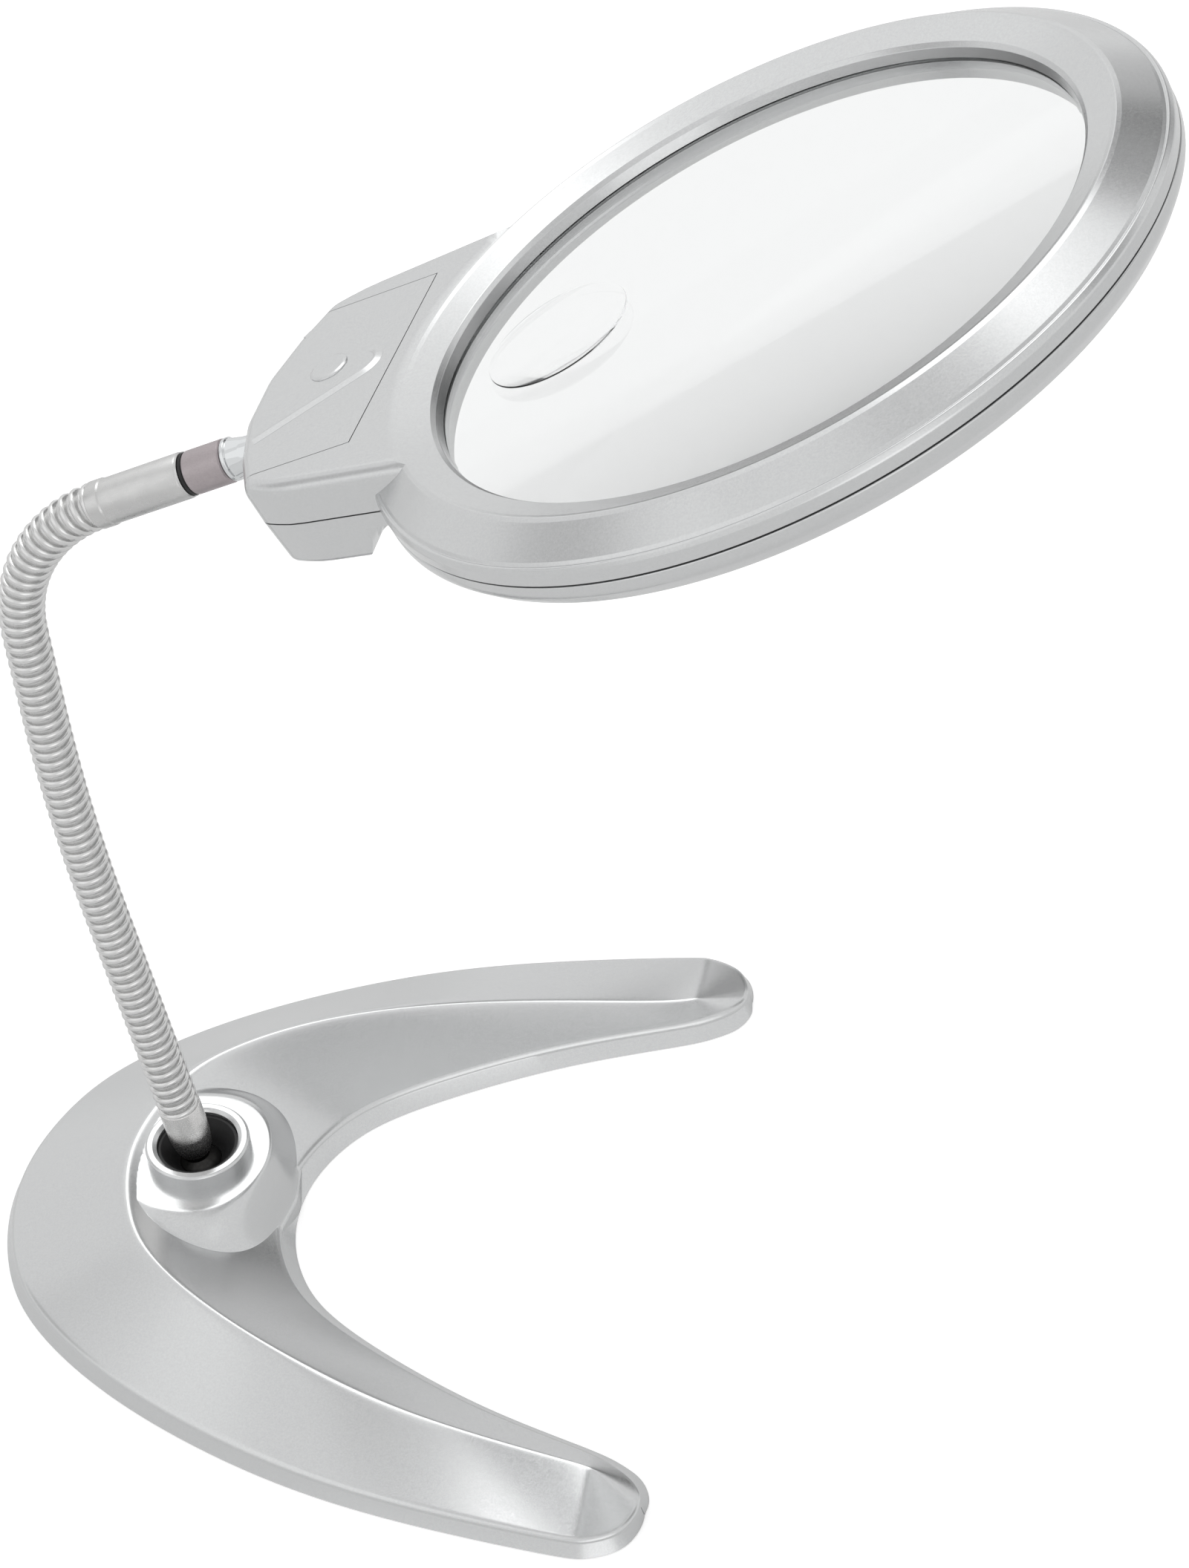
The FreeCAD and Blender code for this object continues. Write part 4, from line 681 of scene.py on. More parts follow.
def foot_skin(sizes):
    """The ridged crescent as a thin closed shell, section by section from tip to tip."""
    crest_height, lip, wall = sizes.crest_height / MM, sizes.lip_height / MM, sizes.wall / MM
    bottom, rounding, draft, flare = 0.15, sizes.lip_rounding / MM, sizes.draft / MM, sizes.flare / MM
    half = []
    for outer, crest, inner, height in FOOT_STATIONS:
        half.append(foot_plan(outer) + foot_plan(crest) + foot_plan(inner) + (height,))
    mirror = [(a, -b, c, -d, e, -f, h) for a, b, c, d, e, f, h in reversed(half[1:])]
    curve = smooth_through(mirror + half, 241)
    outer, crest, inner = curve[:, 0:2], curve[:, 2:4].copy(), curve[:, 4:6]

    def outward(line, side):
        along = np.gradient(line, axis=0)
        along /= np.linalg.norm(along, axis=1)[:, None]
        return np.stack((-along[:, 1], along[:, 0]), axis=1) * side

    tips = np.clip((np.abs(np.linspace(-1, 1, len(curve))) - 0.76) / 0.24, 0, 1)
    tips = (tips * tips * (3 - 2 * tips))[:, None]
    outer_lip = outer - outward(outer, 1) * draft * (1 - 0.6 * tips)
    inner_low = inner + outward(inner, -1) * flare * (1 - tips)
    inner_lip = inner - outward(inner, -1) * draft * 0.4 * tips
    crest[:, 0] -= draft * 0.4 * tips[:, 0]
    loop = np.vstack((outer_lip, inner_lip[::-1]))
    legs = np.roll(loop, -1, axis=0) - loop
    squares = np.maximum((legs * legs).sum(axis=1), 1e-9)
    shares = np.array([0, 0.004, 0.010, 0.018, 0.028, 0.04, 0.055, 0.08, 0.12, 0.18, 0.27, 0.38, 0.5, 0.62,
        0.74, 0.84, 0.9, 0.94, 0.965, 0.983, 0.994])

    def from_edge(p):
        t = np.clip(((p - loop) * legs).sum(axis=1) / squares, 0, 1)
        return np.linalg.norm(loop + legs * t[:, None] - p, axis=1).min()

    # Past the end of its ridge each tip falls away like a cone to the lip all round
    nose = np.array(foot_plan(FOOT_STATIONS[NOSE_STATION][1]))
    nose_height = FOOT_STATIONS[NOSE_STATION][3] * crest_height
    rim = loop[(loop[:, 1] > 0) & (loop[:, 0] > nose[0] - 4)] - nose
    turns = np.arctan2(rim[:, 1], rim[:, 0])
    order = np.argsort(turns)
    turns, reaches = turns[order], np.linalg.norm(rim, axis=1)[order]

    def nose_fall(p, height):
        away = np.array((p[0], abs(p[1]))) - nose
        share = math.hypot(np.linalg.norm(away), 0.25) / np.interp(math.atan2(away[1], away[0]), turns,
            reaches)
        there = min(1.0, max(0.0, (away[0] + 0.6) / 1.2))
        return height + (lip + (nose_height - lip) * (1 - share) - height) * there

    def lower_of(a, b, blend):
        return (a + b) / 2 - math.sqrt(((a - b) / 2) ** 2 + blend * blend)

    rings = []
    for k, height in enumerate(curve[:, 6]):
        o, c, i, top = outer_lip[k], crest[k], inner_lip[k], height * crest_height
        wide_o, wide_i = max(np.linalg.norm(c - o), 0.05), max(np.linalg.norm(c - i), 0.05)
        slope_o, slope_i = (top - lip) / wide_o, (top - lip) / wide_i

        def point(edge, share, own_slope, other_slope, width):
            p, reach = edge + (c - edge) * share, share * width
            blend = 0.42 * min(1.0, width / 8, max(0.15, own_slope * other_slope / 0.19))
            z = lower_of(lip + own_slope * reach, top + other_slope * (width - reach), blend) + blend * 0.8
            z = nose_fall(p, z)
            inside = from_edge(p)
            if inside < rounding:
                z -= rounding - math.sqrt(rounding ** 2 - (rounding - inside) ** 2)
            return p[0], p[1], max(z, 2.2)

        skin = [point(o, s, slope_o, slope_i, wide_o)
            for s in shares] + [point(o, 1.0, slope_o, slope_i, wide_o)]
        skin += [point(i, s, slope_i, slope_o, wide_i) for s in shares[::-1]]
        lining = []
        for edge, low, own_slope, width in ((i, inner_low[k], slope_i, wide_i),
                (o, outer[k], slope_o, wide_o)):
            inset = min(0.45, (wall + (1.2 if edge is o else 0.0)) / width)
            start = edge + (c - edge) * inset
            side = [(start[0], start[1], bottom)]
            for s in (0.0, 0.3, 0.7):
                p = start + (c - start) * s
                side.append((p[0], p[1], max(bottom + 0.4,
                    nose_fall(p, lip + own_slope * np.linalg.norm(p - edge)) - wall)))
            lining += side if edge is i else [(c[0], c[1],
                max(bottom + 0.4, nose_fall(c, top) - wall))] + side[::-1]
        rings.append([(outer[k][0], outer[k][1], bottom)] + skin + [(inner_low[k][0], inner_low[k][1],
            bottom)] + lining)
    return stacked("foot_shell", rings, "satin_shell", angle=40)


def foot_boss(sizes):
    """The moulded boss round the collar: a flat top whose soft shoulder runs down to the inner slope."""
    top = sizes.boss_top / MM
    around = list(BOSS_STATIONS) + [(360 - a, p, f, h) for a, p, f, h in reversed(BOSS_STATIONS[:-1])]
    curve = smooth_through(around, 181)[:-1]
    rings = []
    for share in (0.30, 0.70, 0.90):
        rings.append([on_circle(p * share, a) + (top,) for a, p, f, h in curve])
    for t in np.linspace(0, 1, 17):
        fall = t * t * (3 - 2 * t)
        rings.append([on_circle(p + (f - p) * t, a) + (top - (top - h) * fall,) for a, p, f, h in curve])
    rings.append([on_circle(f + 0.4, a) + (max(h - 3.0, 0.2),) for a, p, f, h in curve])
    return stacked("foot_boss", rings)


class MAGNIFIER_OT_foot_shell(bpy.types.Operator):
    """Moulds the silver foot with its ridge, boss and collar"""

    bl_idname = "magnifier.foot_shell"
    bl_label = "Foot shell"

    def execute(self, context):
        sizes = context.scene.magnifier_sizes
        shell = foot_skin(sizes)
        top = sizes.boss_top / MM
        core = turned("boss_core", [(0, 5.0), (16.0, 5.0), (16.0, top - 1.0), (0, top - 1.0)], segments=96)
        collar = turned("collar", [
            (0, 12.0), (12.0, 12.0), (11.95, 20.9, 0.55), (11.5, 21.4, 0.4), (10.2, 21.4, 0.3), (9.3, 20.8),
            (0, 20.8)], segments=128)
        carve(shell, [foot_boss(sizes), core, collar], "UNION", 34)
        bore = turned("collar_bore", [(0, 4.0), (11.8, 4.0), (11.8, 6.65), (9.32, 6.65), (9.32, 20.8),
            (9.95, 21.45), (9.95, 23), (0, 23)], segments=128)
        carve(shell, [bore], "DIFFERENCE", 34)
        even_normals(shell)
        dress(shell, "satin_shell", "base_shell")
        return {"FINISHED"}


def cross_screw(head_radius, head_height, shank_radius, length):
    """A pan headed screw with a cross recess; its head sits at the origin and the shank points up."""
    screw = turned("screw", [
        (0, 0), (head_radius * 0.8, 0, 0.2), (head_radius, head_height * 0.45, 0.2),
        (head_radius, head_height),
        (shank_radius, head_height), (shank_radius, head_height + length - shank_radius * 0.7),
        (0.25, head_height + length), (0, head_height + length)], "zinc_screw", segments=40)
    arm, half = head_radius * 0.52, head_radius * 0.13
    drive = [box_piece("drive", (-arm, -half, -0.3), (arm, half, head_height * 0.7)),
             box_piece("drive", (-half, -arm, -0.3), (half, arm, head_height * 0.7))]
    return carve(screw, drive)


class MAGNIFIER_OT_foot_fittings(bpy.types.Operator):
    """Adds the rubber pads and screws under the foot and finishes its cover and weight"""

    bl_idname = "magnifier.foot_fittings"
    bl_label = "Foot cover, weight, pads and screws"

    def execute(self, context):
        coat("dark_cover", "base_cover")
        coat("steel_weight", "base_weight")
        coat("zinc_screw", "retainer_plate")
        pad = turned("pad", [(0, 0.12), (2.2, 0.12), (2.5, 0.0, 0.2), (4.1, 0.0, 0.35), (4.5, 0.45, 0.2),
            (4.5, 0.8), (0, 0.8)], "rubber_pad", segments=64)
        spots = [Matrix.Translation(Vector(foot_plan(s) + (0,)) * MM) for s in FOOT_PADS]
        dress(moved_copies("rubber_pads", pad, spots), "rubber_pad", "foot_pads")
        spots = [Matrix.Translation(Vector(foot_plan(s) + (0.8,)) * MM) @ Matrix.Rotation(0.7 * i, 4, "Z")
            for i, s in enumerate(COVER_SCREWS)]
        dress(moved_copies("foot_screws", cross_screw(2.4, 0.8, 1.25, 4.4), spots), "zinc_screw",
            "cover_screws")
        spots = [Matrix.Rotation(math.radians(120 * i), 4,
            "Z") @ Matrix.Translation(Vector((13.7, 0, 2.7)) * MM) for i in range(3)]
        dress(moved_copies("plate_screws", cross_screw(1.7, 0.9, 0.9, 6.0), spots), "zinc_screw",
            "retainer_screws")
        return {"FINISHED"}


class MAGNIFIER_OT_pivot(bpy.types.Operator):
    """Turns the black socket, its nylon seat and the ball with its tapered ferrule"""

    bl_idname = "magnifier.pivot"
    bl_label = "Ball pivot"

    def execute(self, context):
        def bowl(angles):
            arc = [on_circle(CUP_RADIUS, a) for a in angles]
            return [(r, BALL_HEIGHT + z) for r, z in arc]

        socket = turned("socket_bush", [(CUP_RADIUS, 5.05)] + bowl((0, 10, 20, 30, 38.3)) + [
            (8.5, 20.0, 0.3), (9.25, 20.0, 0.25), (9.25, 6.55), (11.5, 6.55, 0.2), (11.5, 5.05, 0.2)],
            "black_socket", segments=96)
        dress(socket, "black_socket", "pivot_socket")
        cup = [(r, z) for r, z in bowl((-32, -42, -54, -66, -78, -90)) if z < 8.9 and r < 5.9]
        seat = turned("nylon_cup", [(0, 5.05), (6.0, 5.05, 0.3), (6.0, 9.0, 0.2)] + cup, "nylon_seat",
            segments=64)
        dress(seat, "nylon_seat", "ball_seat")
        # The ball is painted near black, as painted shade for its place down in the socket; the ferrule above it
        # keeps bright steel.
        ball = [(0, -BALL_RADIUS)] + [on_circle(BALL_RADIUS, a) for a in range(-84, 60, 6)]
        ball = turned("pivot_ball", ball + [(3.0, 5.5), (3.0, 8.2), (0, 8.2)], "neck_filler", BALL,
            segments=96)
        sleeve = turned("stem_ferrule", [
            (0, 6.5), (2.9, 6.5), (3.5, 6.9, 0.6), (4.15, 8.5, 1.5), (4.55, 10.6, 3.0), (4.75, 13.0, 3.0),
            (4.86, 16.8, 0.5), (4.86, 19.3), (4.86, 21.4, 0.2), (3.1, 21.4), (0, 21.4)], "bright_steel",
            BALL, segments=96)
        stud = joined("ball_and_ferrule", [ball, sleeve])
        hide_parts("ball_stud")
        hinge, zone = NECK_START, context.scene.magnifier_sizes.bend_zone / MM
        neck_frame(hinge - zone)[0] * MM
        neck_frame(hinge + zone)[0] * MM
        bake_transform(stud)
        return {"FINISHED"}


# Neck

def winding(name, start, end, radius, section, steps_per_turn, finish_name="neck_wire"):
    """A wire wound round the neck's middle line between two distances; its section is outward and along."""
    turns = (end - start) / PITCH
    count = max(8, int(round(turns * steps_per_turn)))
    points, faces = [], []
    width = len(section)
    for k in range(count + 1):
        distance = start + (end - start) * k / count
        phase = 2 * math.pi * (distance - NECK_START) / PITCH
        middle, along, right = neck_frame(distance)
        out = right * math.cos(phase) + Vector((0, 1, 0)) * math.sin(phase)
        for outward, forward in section:
            points.append(middle + out * (radius + outward) + along * forward)
    for k in range(count):
        for j in range(width):
            n = (j + 1) % width
            faces.append([k * width + j, k * width + n, (k + 1) * width + n, (k + 1) * width + j])
    faces.append(list(range(width)))
    faces.append([count * width + j for j in range(width)])
    return make_piece(name, points, faces, finish_name, angle=50)


class MAGNIFIER_OT_neck(bpy.types.Operator):
    """Winds the gooseneck's round wire and the flat wire between its turns"""

    bl_idname = "magnifier.neck"
    bl_label = "Wound neck"

    def execute(self, context):
        sizes = context.scene.magnifier_sizes
        wire, outer, flat = sizes.wire / MM / 2, sizes.neck_diameter / MM / 2, sizes.filler_width / MM / 2
        round_section = [(wire * math.cos(a), wire * math.sin(a))
            for a in np.linspace(0, 2 * math.pi, 12, endpoint=False)]
        flat_section = [(-0.06, -flat), (0.06, -flat * 0.6), (0.08, 0.0), (0.06, flat * 0.6), (-0.06, flat),
            (-0.6, 0.12), (-0.6, -0.12)]
        zone = sizes.bend_zone / MM
        for k in range(LINKS + 1):
            hinge = NECK_START + k * LINK
            start, end = hinge - LINK / 2, hinge + LINK / 2
            first, last = max(start, NECK_START + 1.5), min(end, NECK_END + 0.5)
            wound = winding("round_wire", first, last, outer - wire, round_section, 30)
            # The flat wire takes the ferrule's slightly darker nickel: partly its own finish, partly painted shade
            # in the gaps between the turns.
            between = winding("flat_wire", first, last, outer - wire,
                [(a, b + PITCH / 2) for a, b in flat_section], 24, "upper_ferrule")
            piece = joined("neck_winding_%d" % (k + 1), [wound, between])
            if k:
                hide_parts("neck_coil_%d" % k)
            low, high = neck_frame(hinge - zone)[0], neck_frame(hinge + zone)[0]
            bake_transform(piece)
        # The cores are painted near black, as painted shade in the gaps between the turns.
        coat("neck_filler", *["neck_core_%d" % i for i in range(1, LINKS + 1)])
        return {"FINISHED"}


class MAGNIFIER_OT_fittings(bpy.types.Operator):
    """Turns the upper ferrule, washer, swivel sleeve, cone nut and the nut inside the housing"""

    bl_idname = "magnifier.fittings"
    bl_label = "Neck fittings"

    def execute(self, context):
        ferrule = turned("long_ferrule", [
            (3.2, -0.8), (4.6, -0.8), (4.86, -0.5, 0.2), (4.86, 2.2, 0.2), (4.65, 2.6, 0.2), (4.65, 20.2),
            (4.5, 20.5, 0.2), (4.5, 21.0), (2.55, 21.0), (2.55, 13.0), (3.2, 11.0)],
            "upper_ferrule", FITTINGS)
        dress(ferrule, "bright_steel", "upper_ferrule")
        washer = turned("dark_washer", [(2.55, 21.0), (4.15, 21.0), (4.3, 21.15), (4.3, 21.65), (4.15, 21.8),
            (2.55, 21.8)], "black_socket", FITTINGS)
        dress(washer, "black_socket", "swivel_washer")
        sleeve = turned("turning_sleeve", [
            (0, 13.05), (2.5, 13.05, 0.3), (2.5, 21.85), (4.1, 21.85), (4.4, 22.15, 0.2), (4.4, 30.2, 0.2),
            (4.1, 30.5), (0, 30.5)],
            "satin_steel", FITTINGS)
        dress(sleeve, "satin_steel", "swivel_sleeve")
        cone = turned("cone_nut", [
            (0, 30.5), (3.9, 30.5), (4.35, 30.9, 0.3), (4.35, 31.6, 0.3), (4.0, 31.9, 0.2), (3.5, 34.6, 4.0),
            (3.35, 37.4),
            (2.5, 37.4), (2.5, 43.0), (2.2, 43.3), (0, 43.3)], "chrome_fitting", FITTINGS)
        dress(cone, "chrome_fitting", "cone_nut")
        nut = turned("stud_nut", [(2.5, 38.9), (4.4, 38.9, 0.3), (4.4, 41.3, 0.3), (2.5, 41.3)],
            "zinc_screw", FITTINGS, segments=6, angle=20)
        dress(nut, "zinc_screw", "stud_nut")
        return {"FINISHED"}


# Head

def plan_ring(plan, inset, level):
    """The housing's plan at a level, drawn in by an inset."""
    plan = np.asarray(plan)
    ahead, behind = np.roll(plan, -1, axis=0), np.roll(plan, 1, axis=0)
    along = ahead - behind
    along[0], along[-1] = (-1, 0), (1, 0)
    along /= np.linalg.norm(along, axis=1)[:, None]
    inward = np.stack((-along[:, 1], along[:, 0]), axis=1)
    drawn = plan + inward * inset
    return [(x, y, level) for x, y in drawn]


def housing_plan():
    """The housing's outline from its front at +Y round the back."""
    half = soften(list(HOUSING_PLAN) + [(-107.5, -8.0)])[:-1]
    dense = [half[0]]
    for a, b in zip(half, half[1:]):
        steps = max(1, int(np.linalg.norm(b - a) / 2.0))
        dense += [a + (b - a) * (k + 1) / steps for k in range(steps)]
    back = [np.array((x, -y)) for x, y in reversed(dense)]
    return dense + back


def housing_body(name, levels):
    plan = housing_plan()
    return stacked(name, [plan_ring(plan, inset, z) for z, inset in levels], "satin_shell", HOUSING)


def rounded_top(top, radius, bottom):
    levels = [(bottom, 0.0)]
    for k in range(7):
        a = math.radians(15 * k)
        levels.append((top - radius + radius * math.sin(a), radius * (1 - math.cos(a))))
    return levels


def bay_tools(prefix):
    return [
        box_piece(prefix + "_room", (-99.0, -24.5, -10.8), (-78.3, 24.5, 2.6), HOUSING),
        box_piece(prefix + "_back", (-99.8, -22.5, -10.8), (-98.0, 22.5, 2.6), HOUSING),
        box_piece(prefix + "_front", (-79.3, -24.5, -3.0), (-67.5, 24.5, 2.6), HOUSING),
        turned(prefix + "_trough", [(0, -24.5), (5.45, -24.5), (5.45, 24.5), (0, 24.5)], None,
               HOUSING @ place_at((-73.0, 0, -3.0), (0, 1, 0), (1, 0, 0)), segments=48),
        box_piece(prefix + "_mouth", (-99.9, -22.5, -3.0), (-77.6, 22.5, 4.9), HOUSING),
        turned(prefix + "_bolt", [(0, 0), (2.55, 0), (2.55, 9.4), (0, 9.4)], None,
            HEAD @ place_at((-108.5, 0, 0), (1, 0, 0)), segments=48),
        turned(prefix + "_nut", [(0, 0), (4.45, 0), (4.45, 8), (0, 8)], None,
            HEAD @ place_at((-105.5, 0, 0), (1, 0, 0)), segments=48),
    ]


def door_cut(name, gap, low):
    """The sliding door's plan as a cutter: its sides run along the slide, its front askew."""
    plan = [(-112, -20.0 - gap), (-77.75 + gap, -20.0 - gap), (-71.6 + gap, 32.0 + gap / 5),
        (-112, 32.0 + gap / 5)]
    return stacked(name, [[(x, y, z) for x, y in plan] for z in (low, 8.0)], None, HEAD)


def shell_screw_spots():
    ring = on_circle(RIM_CIRCLE, SCREW_ANGLE)
    return [(x, side * y, kind) for side in (1, -1) for kind,
        (x, y) in enumerate(((-95.6, 26.4), (-76.0, 30.0), ring))]


class MAGNIFIER_OT_head_shells(bpy.types.Operator):
    """Moulds the upper and lower shells of the lens ring and its battery housing"""

    bl_idname = "magnifier.head_shells"
    bl_label = "Head shells"

    def execute(self, context):
        ring = turned("head_upper", [
            (65.3, -2.3), (79.1, -2.3, 0.25), (79.2, 0.2, 1.2), (78.6, 1.4, 0.5), (78.0, 1.25, 0.15),
            (77.5, 1.8, 0.3),
            (71.6, 5.5, 0.6), (70.7, 5.9, 0.4), (69.7, 5.5, 0.6), (64.7, 3.9, 0.4), (63.9, 3.1, 0.3),
            (63.4, 1.15), (65.3, 1.1)],
            "satin_shell", HEAD, segments=288)
        block = housing_body("upper_block", rounded_top(HOUSING_TOP, HOUSING_EDGE, SHELL_SEAM))
        inside = turned("crest_room", [(0, -5), (70.7, -5), (70.7, 5.85), (73.4, 6.7), (73.4, 8), (0, 8)],
            None, HEAD, segments=288)
        carve(block, [inside])
        carve(ring, [block], "UNION")
        mouth = door_cut("door_mouth", 0.26, 4.85)
        holes = [turned("hole", [(0, -3), (1.2, -3), (1.2, 2.5), (0, 2.5)], None, shifted(HOUSING, x, y),
            segments=24)
                 for x, y, kind in shell_screw_spots()]
        carve(ring, [mouth] + bay_tools("upper") + holes)
        even_normals(ring)
        dress(ring, "satin_shell", "head_upper_shell")

        lower = turned("head_lower", [
            (65.3, -2.6), (79.13, -2.6, 0.3), (79.17, -5.0, 4.0), (76.4, -8.5, 2.2), (70.7, -9.0, 1.5),
            (64.6, -8.3, 0.6), (63.5, -7.4, 0.3), (63.5, -1.45), (65.3, -1.45)], "satin_shell", HEAD, segments=288)
        levels = [(-2.6, 0.0), (-4.5, 0.1), (-11.2, 0.5)]
        for k in range(1, 8):
            a = math.radians(12.8 * k)
            levels.append((-11.2 - 1.8 * math.sin(a), 0.5 + 1.8 * (1 - math.cos(a))))
        block = housing_body("lower_block", levels)
        under = [(-80.0, -15.0), (-80.0, -13.0), (-72.0, -9.0), (0, -9.0), (0, -15.0)]
        beside = soften([(-82.0, -15.0), (-82.0, -13.05), (-78.9, -12.4, 2.2), (-76.6, -9.0, 3.5),
            (-76.4, -6.0), (-50, -6.0), (-50, -15.0)], True)
        cuts = [stacked("wedge", [[(x, y, z) for x, z in plan] for y in reach], None, HOUSING)
                for plan, reach in ((under, (-42.0, 42.0)), (beside, (26.5, 45.0)), (beside, (-45.0, -26.5)))]
        inside = turned("inner_room", [(0, -15), (70.7, -15), (70.7, 0), (0, 0)], None, HEAD, segments=288)
        carve(block, cuts + [inside])
        carve(lower, [block], "UNION")
        slot = box_piece("switch_slot", (-94.2, -4.7, -14.0), (-89.8, 4.7, -10.0), HEAD)
        tools = [slot] + bay_tools("lower")
        for side in (1, -1):
            x, y = on_circle(RIM_CIRCLE, side * LAMP_ANGLE)
            tools.append(turned("lamp_hole", [(0, -12), (3.2, -12), (2.65, -8.0), (2.65, -1.0), (0, -1.0)],
                None, shifted(HEAD, x, y), segments=48))
        for x, y, kind in shell_screw_spots():
            foot, wide = (-10.0, -8.0, -8.5)[kind], (1.85, 2.2, 2.2)[kind]
            tools.append(turned("sink", [(0, foot - 5), (wide, foot - 5), (wide, foot + 1.2),
                (1.3, foot + 1.2), (1.3, 0), (0, 0)], None, shifted(HOUSING, x, y), segments=32))
        carve(lower, tools)
        even_normals(lower)
        dress(lower, "satin_shell", "head_lower_shell")
        return {"FINISHED"}


class MAGNIFIER_OT_battery_door(bpy.types.Operator):
    """Moulds the sliding door with its raised arch and thumb dot"""

    bl_idname = "magnifier.battery_door"
    bl_label = "Battery door"

    def execute(self, context):
        door = housing_body("battery_door", rounded_top(HOUSING_TOP, HOUSING_EDGE, SHELL_SEAM))
        carve(door, [door_cut("door_leaf", 0.0, 4.9)], "INTERSECT")
        edges = door.modifiers.new("soft edges", "BEVEL")
        edges.width, edges.segments = 0.22 * MM, 2
        edges.limit_method, edges.angle_limit = "ANGLE", math.radians(50)
        mesh = bpy.data.meshes.new_from_object(door.evaluated_get(bpy.context.evaluated_depsgraph_get()))
        door.modifiers.clear()
        door.data = mesh
        shade(mesh)
        middle = ARCH_POINTS[-1][1]
        line = smooth_through(list(ARCH_POINTS) + [(x, 2 * middle - y) for x,
            y in reversed(ARCH_POINTS[:-1])], 81)
        ahead = np.gradient(line, axis=0)
        ahead /= np.linalg.norm(ahead, axis=1)[:, None]
        ridge_rings = []
        for k, ((x, y), (dx, dy)) in enumerate(zip(line, ahead)):
            swell = 1 - 1.15 * min(1.0, max(0.0, (k - 44) / 12))
            profile = ((-1.3, -1.5), (-1.25, 0.02), (-0.2, 0.5), (0.05, 0.55), (0.45, 0.4), (0.7, 0.1),
                (0.8, -1.5))
            ridge_rings.append([(x - dy * side, y + dx * side,
                HOUSING_TOP + rise * (swell if rise > 0 else 1)) for side, rise in profile])
        ridge = stacked("arch", ridge_rings, None, HOUSING)
        dot = turned("dot", [(0, 6.0), (4.1, 6.0), (4.0, 6.7, 0.25), (3.4, 6.95, 0.3), (0, 6.8)], None,
            shifted(HOUSING, -90.6, 4.0), segments=64)
        carve(door, [ridge, dot], "UNION")
        if not door.data.materials:
            door.data.materials.append(finish("satin_shell"))
        even_normals(door)
        dress(door, "satin_shell", "battery_door")
        return {"FINISHED"}


class MAGNIFIER_OT_lens(bpy.types.Operator):
    """Casts the main lens with the small strong lens moulded into it"""

    bl_idname = "magnifier.lens"
    bl_label = "Lens"

    def execute(self, context):
        sizes = context.scene.magnifier_sizes
        radius, crown, rise = sizes.lens_diameter / MM / 2, sizes.lens_crown / MM, sizes.spot_rise / MM
        clear = radius - 1.8
        big = (clear * clear + crown * crown) / (2 * crown)
        radii = clear * np.sin(np.linspace(0, math.pi / 2, 40))
        rise_at = lambda r: crown - big + math.sqrt(big * big - r * r)
        top = [(r, 1.0 + rise_at(r)) for r in radii]
        lens = turned("acrylic_lens", [(0, top[0][1])] + top[1:] + [(radius, 1.0, 0.15),
            (radius, -1.4, 0.15), (0, -1.4)],
                      "clear_lens", HEAD, segments=240, angle=60)
        slope = math.atan2(SPOT_REACH, math.sqrt(big * big - SPOT_REACH ** 2))
        at = Vector((-SPOT_REACH, 0, 1.0 + rise_at(SPOT_REACH)))
        spot_big = (SPOT_RADIUS ** 2 + rise ** 2) / (2 * rise)
        cap_radii = SPOT_RADIUS * np.linspace(0, 1, 18)
        drop = lambda r: math.sqrt(spot_big ** 2 - r * r) - spot_big
        cap = [(r, rise + drop(r) + 0.12) for r in cap_radii]
        spot = turned("spot", [(0, cap[0][1])] + cap[1:-1] + [(SPOT_RADIUS, 0.12, 0.05),
            (SPOT_RADIUS + 0.4, -1.2), (0, -1.2)], None,
                      HEAD @ place_at(at, (-math.sin(slope), 0, math.cos(slope))), segments=160, angle=60)
        carve(lens, [spot], "UNION", 8)
        dress(lens, "clear_lens", "main_lens", "spot_lens")
        return {"FINISHED"}


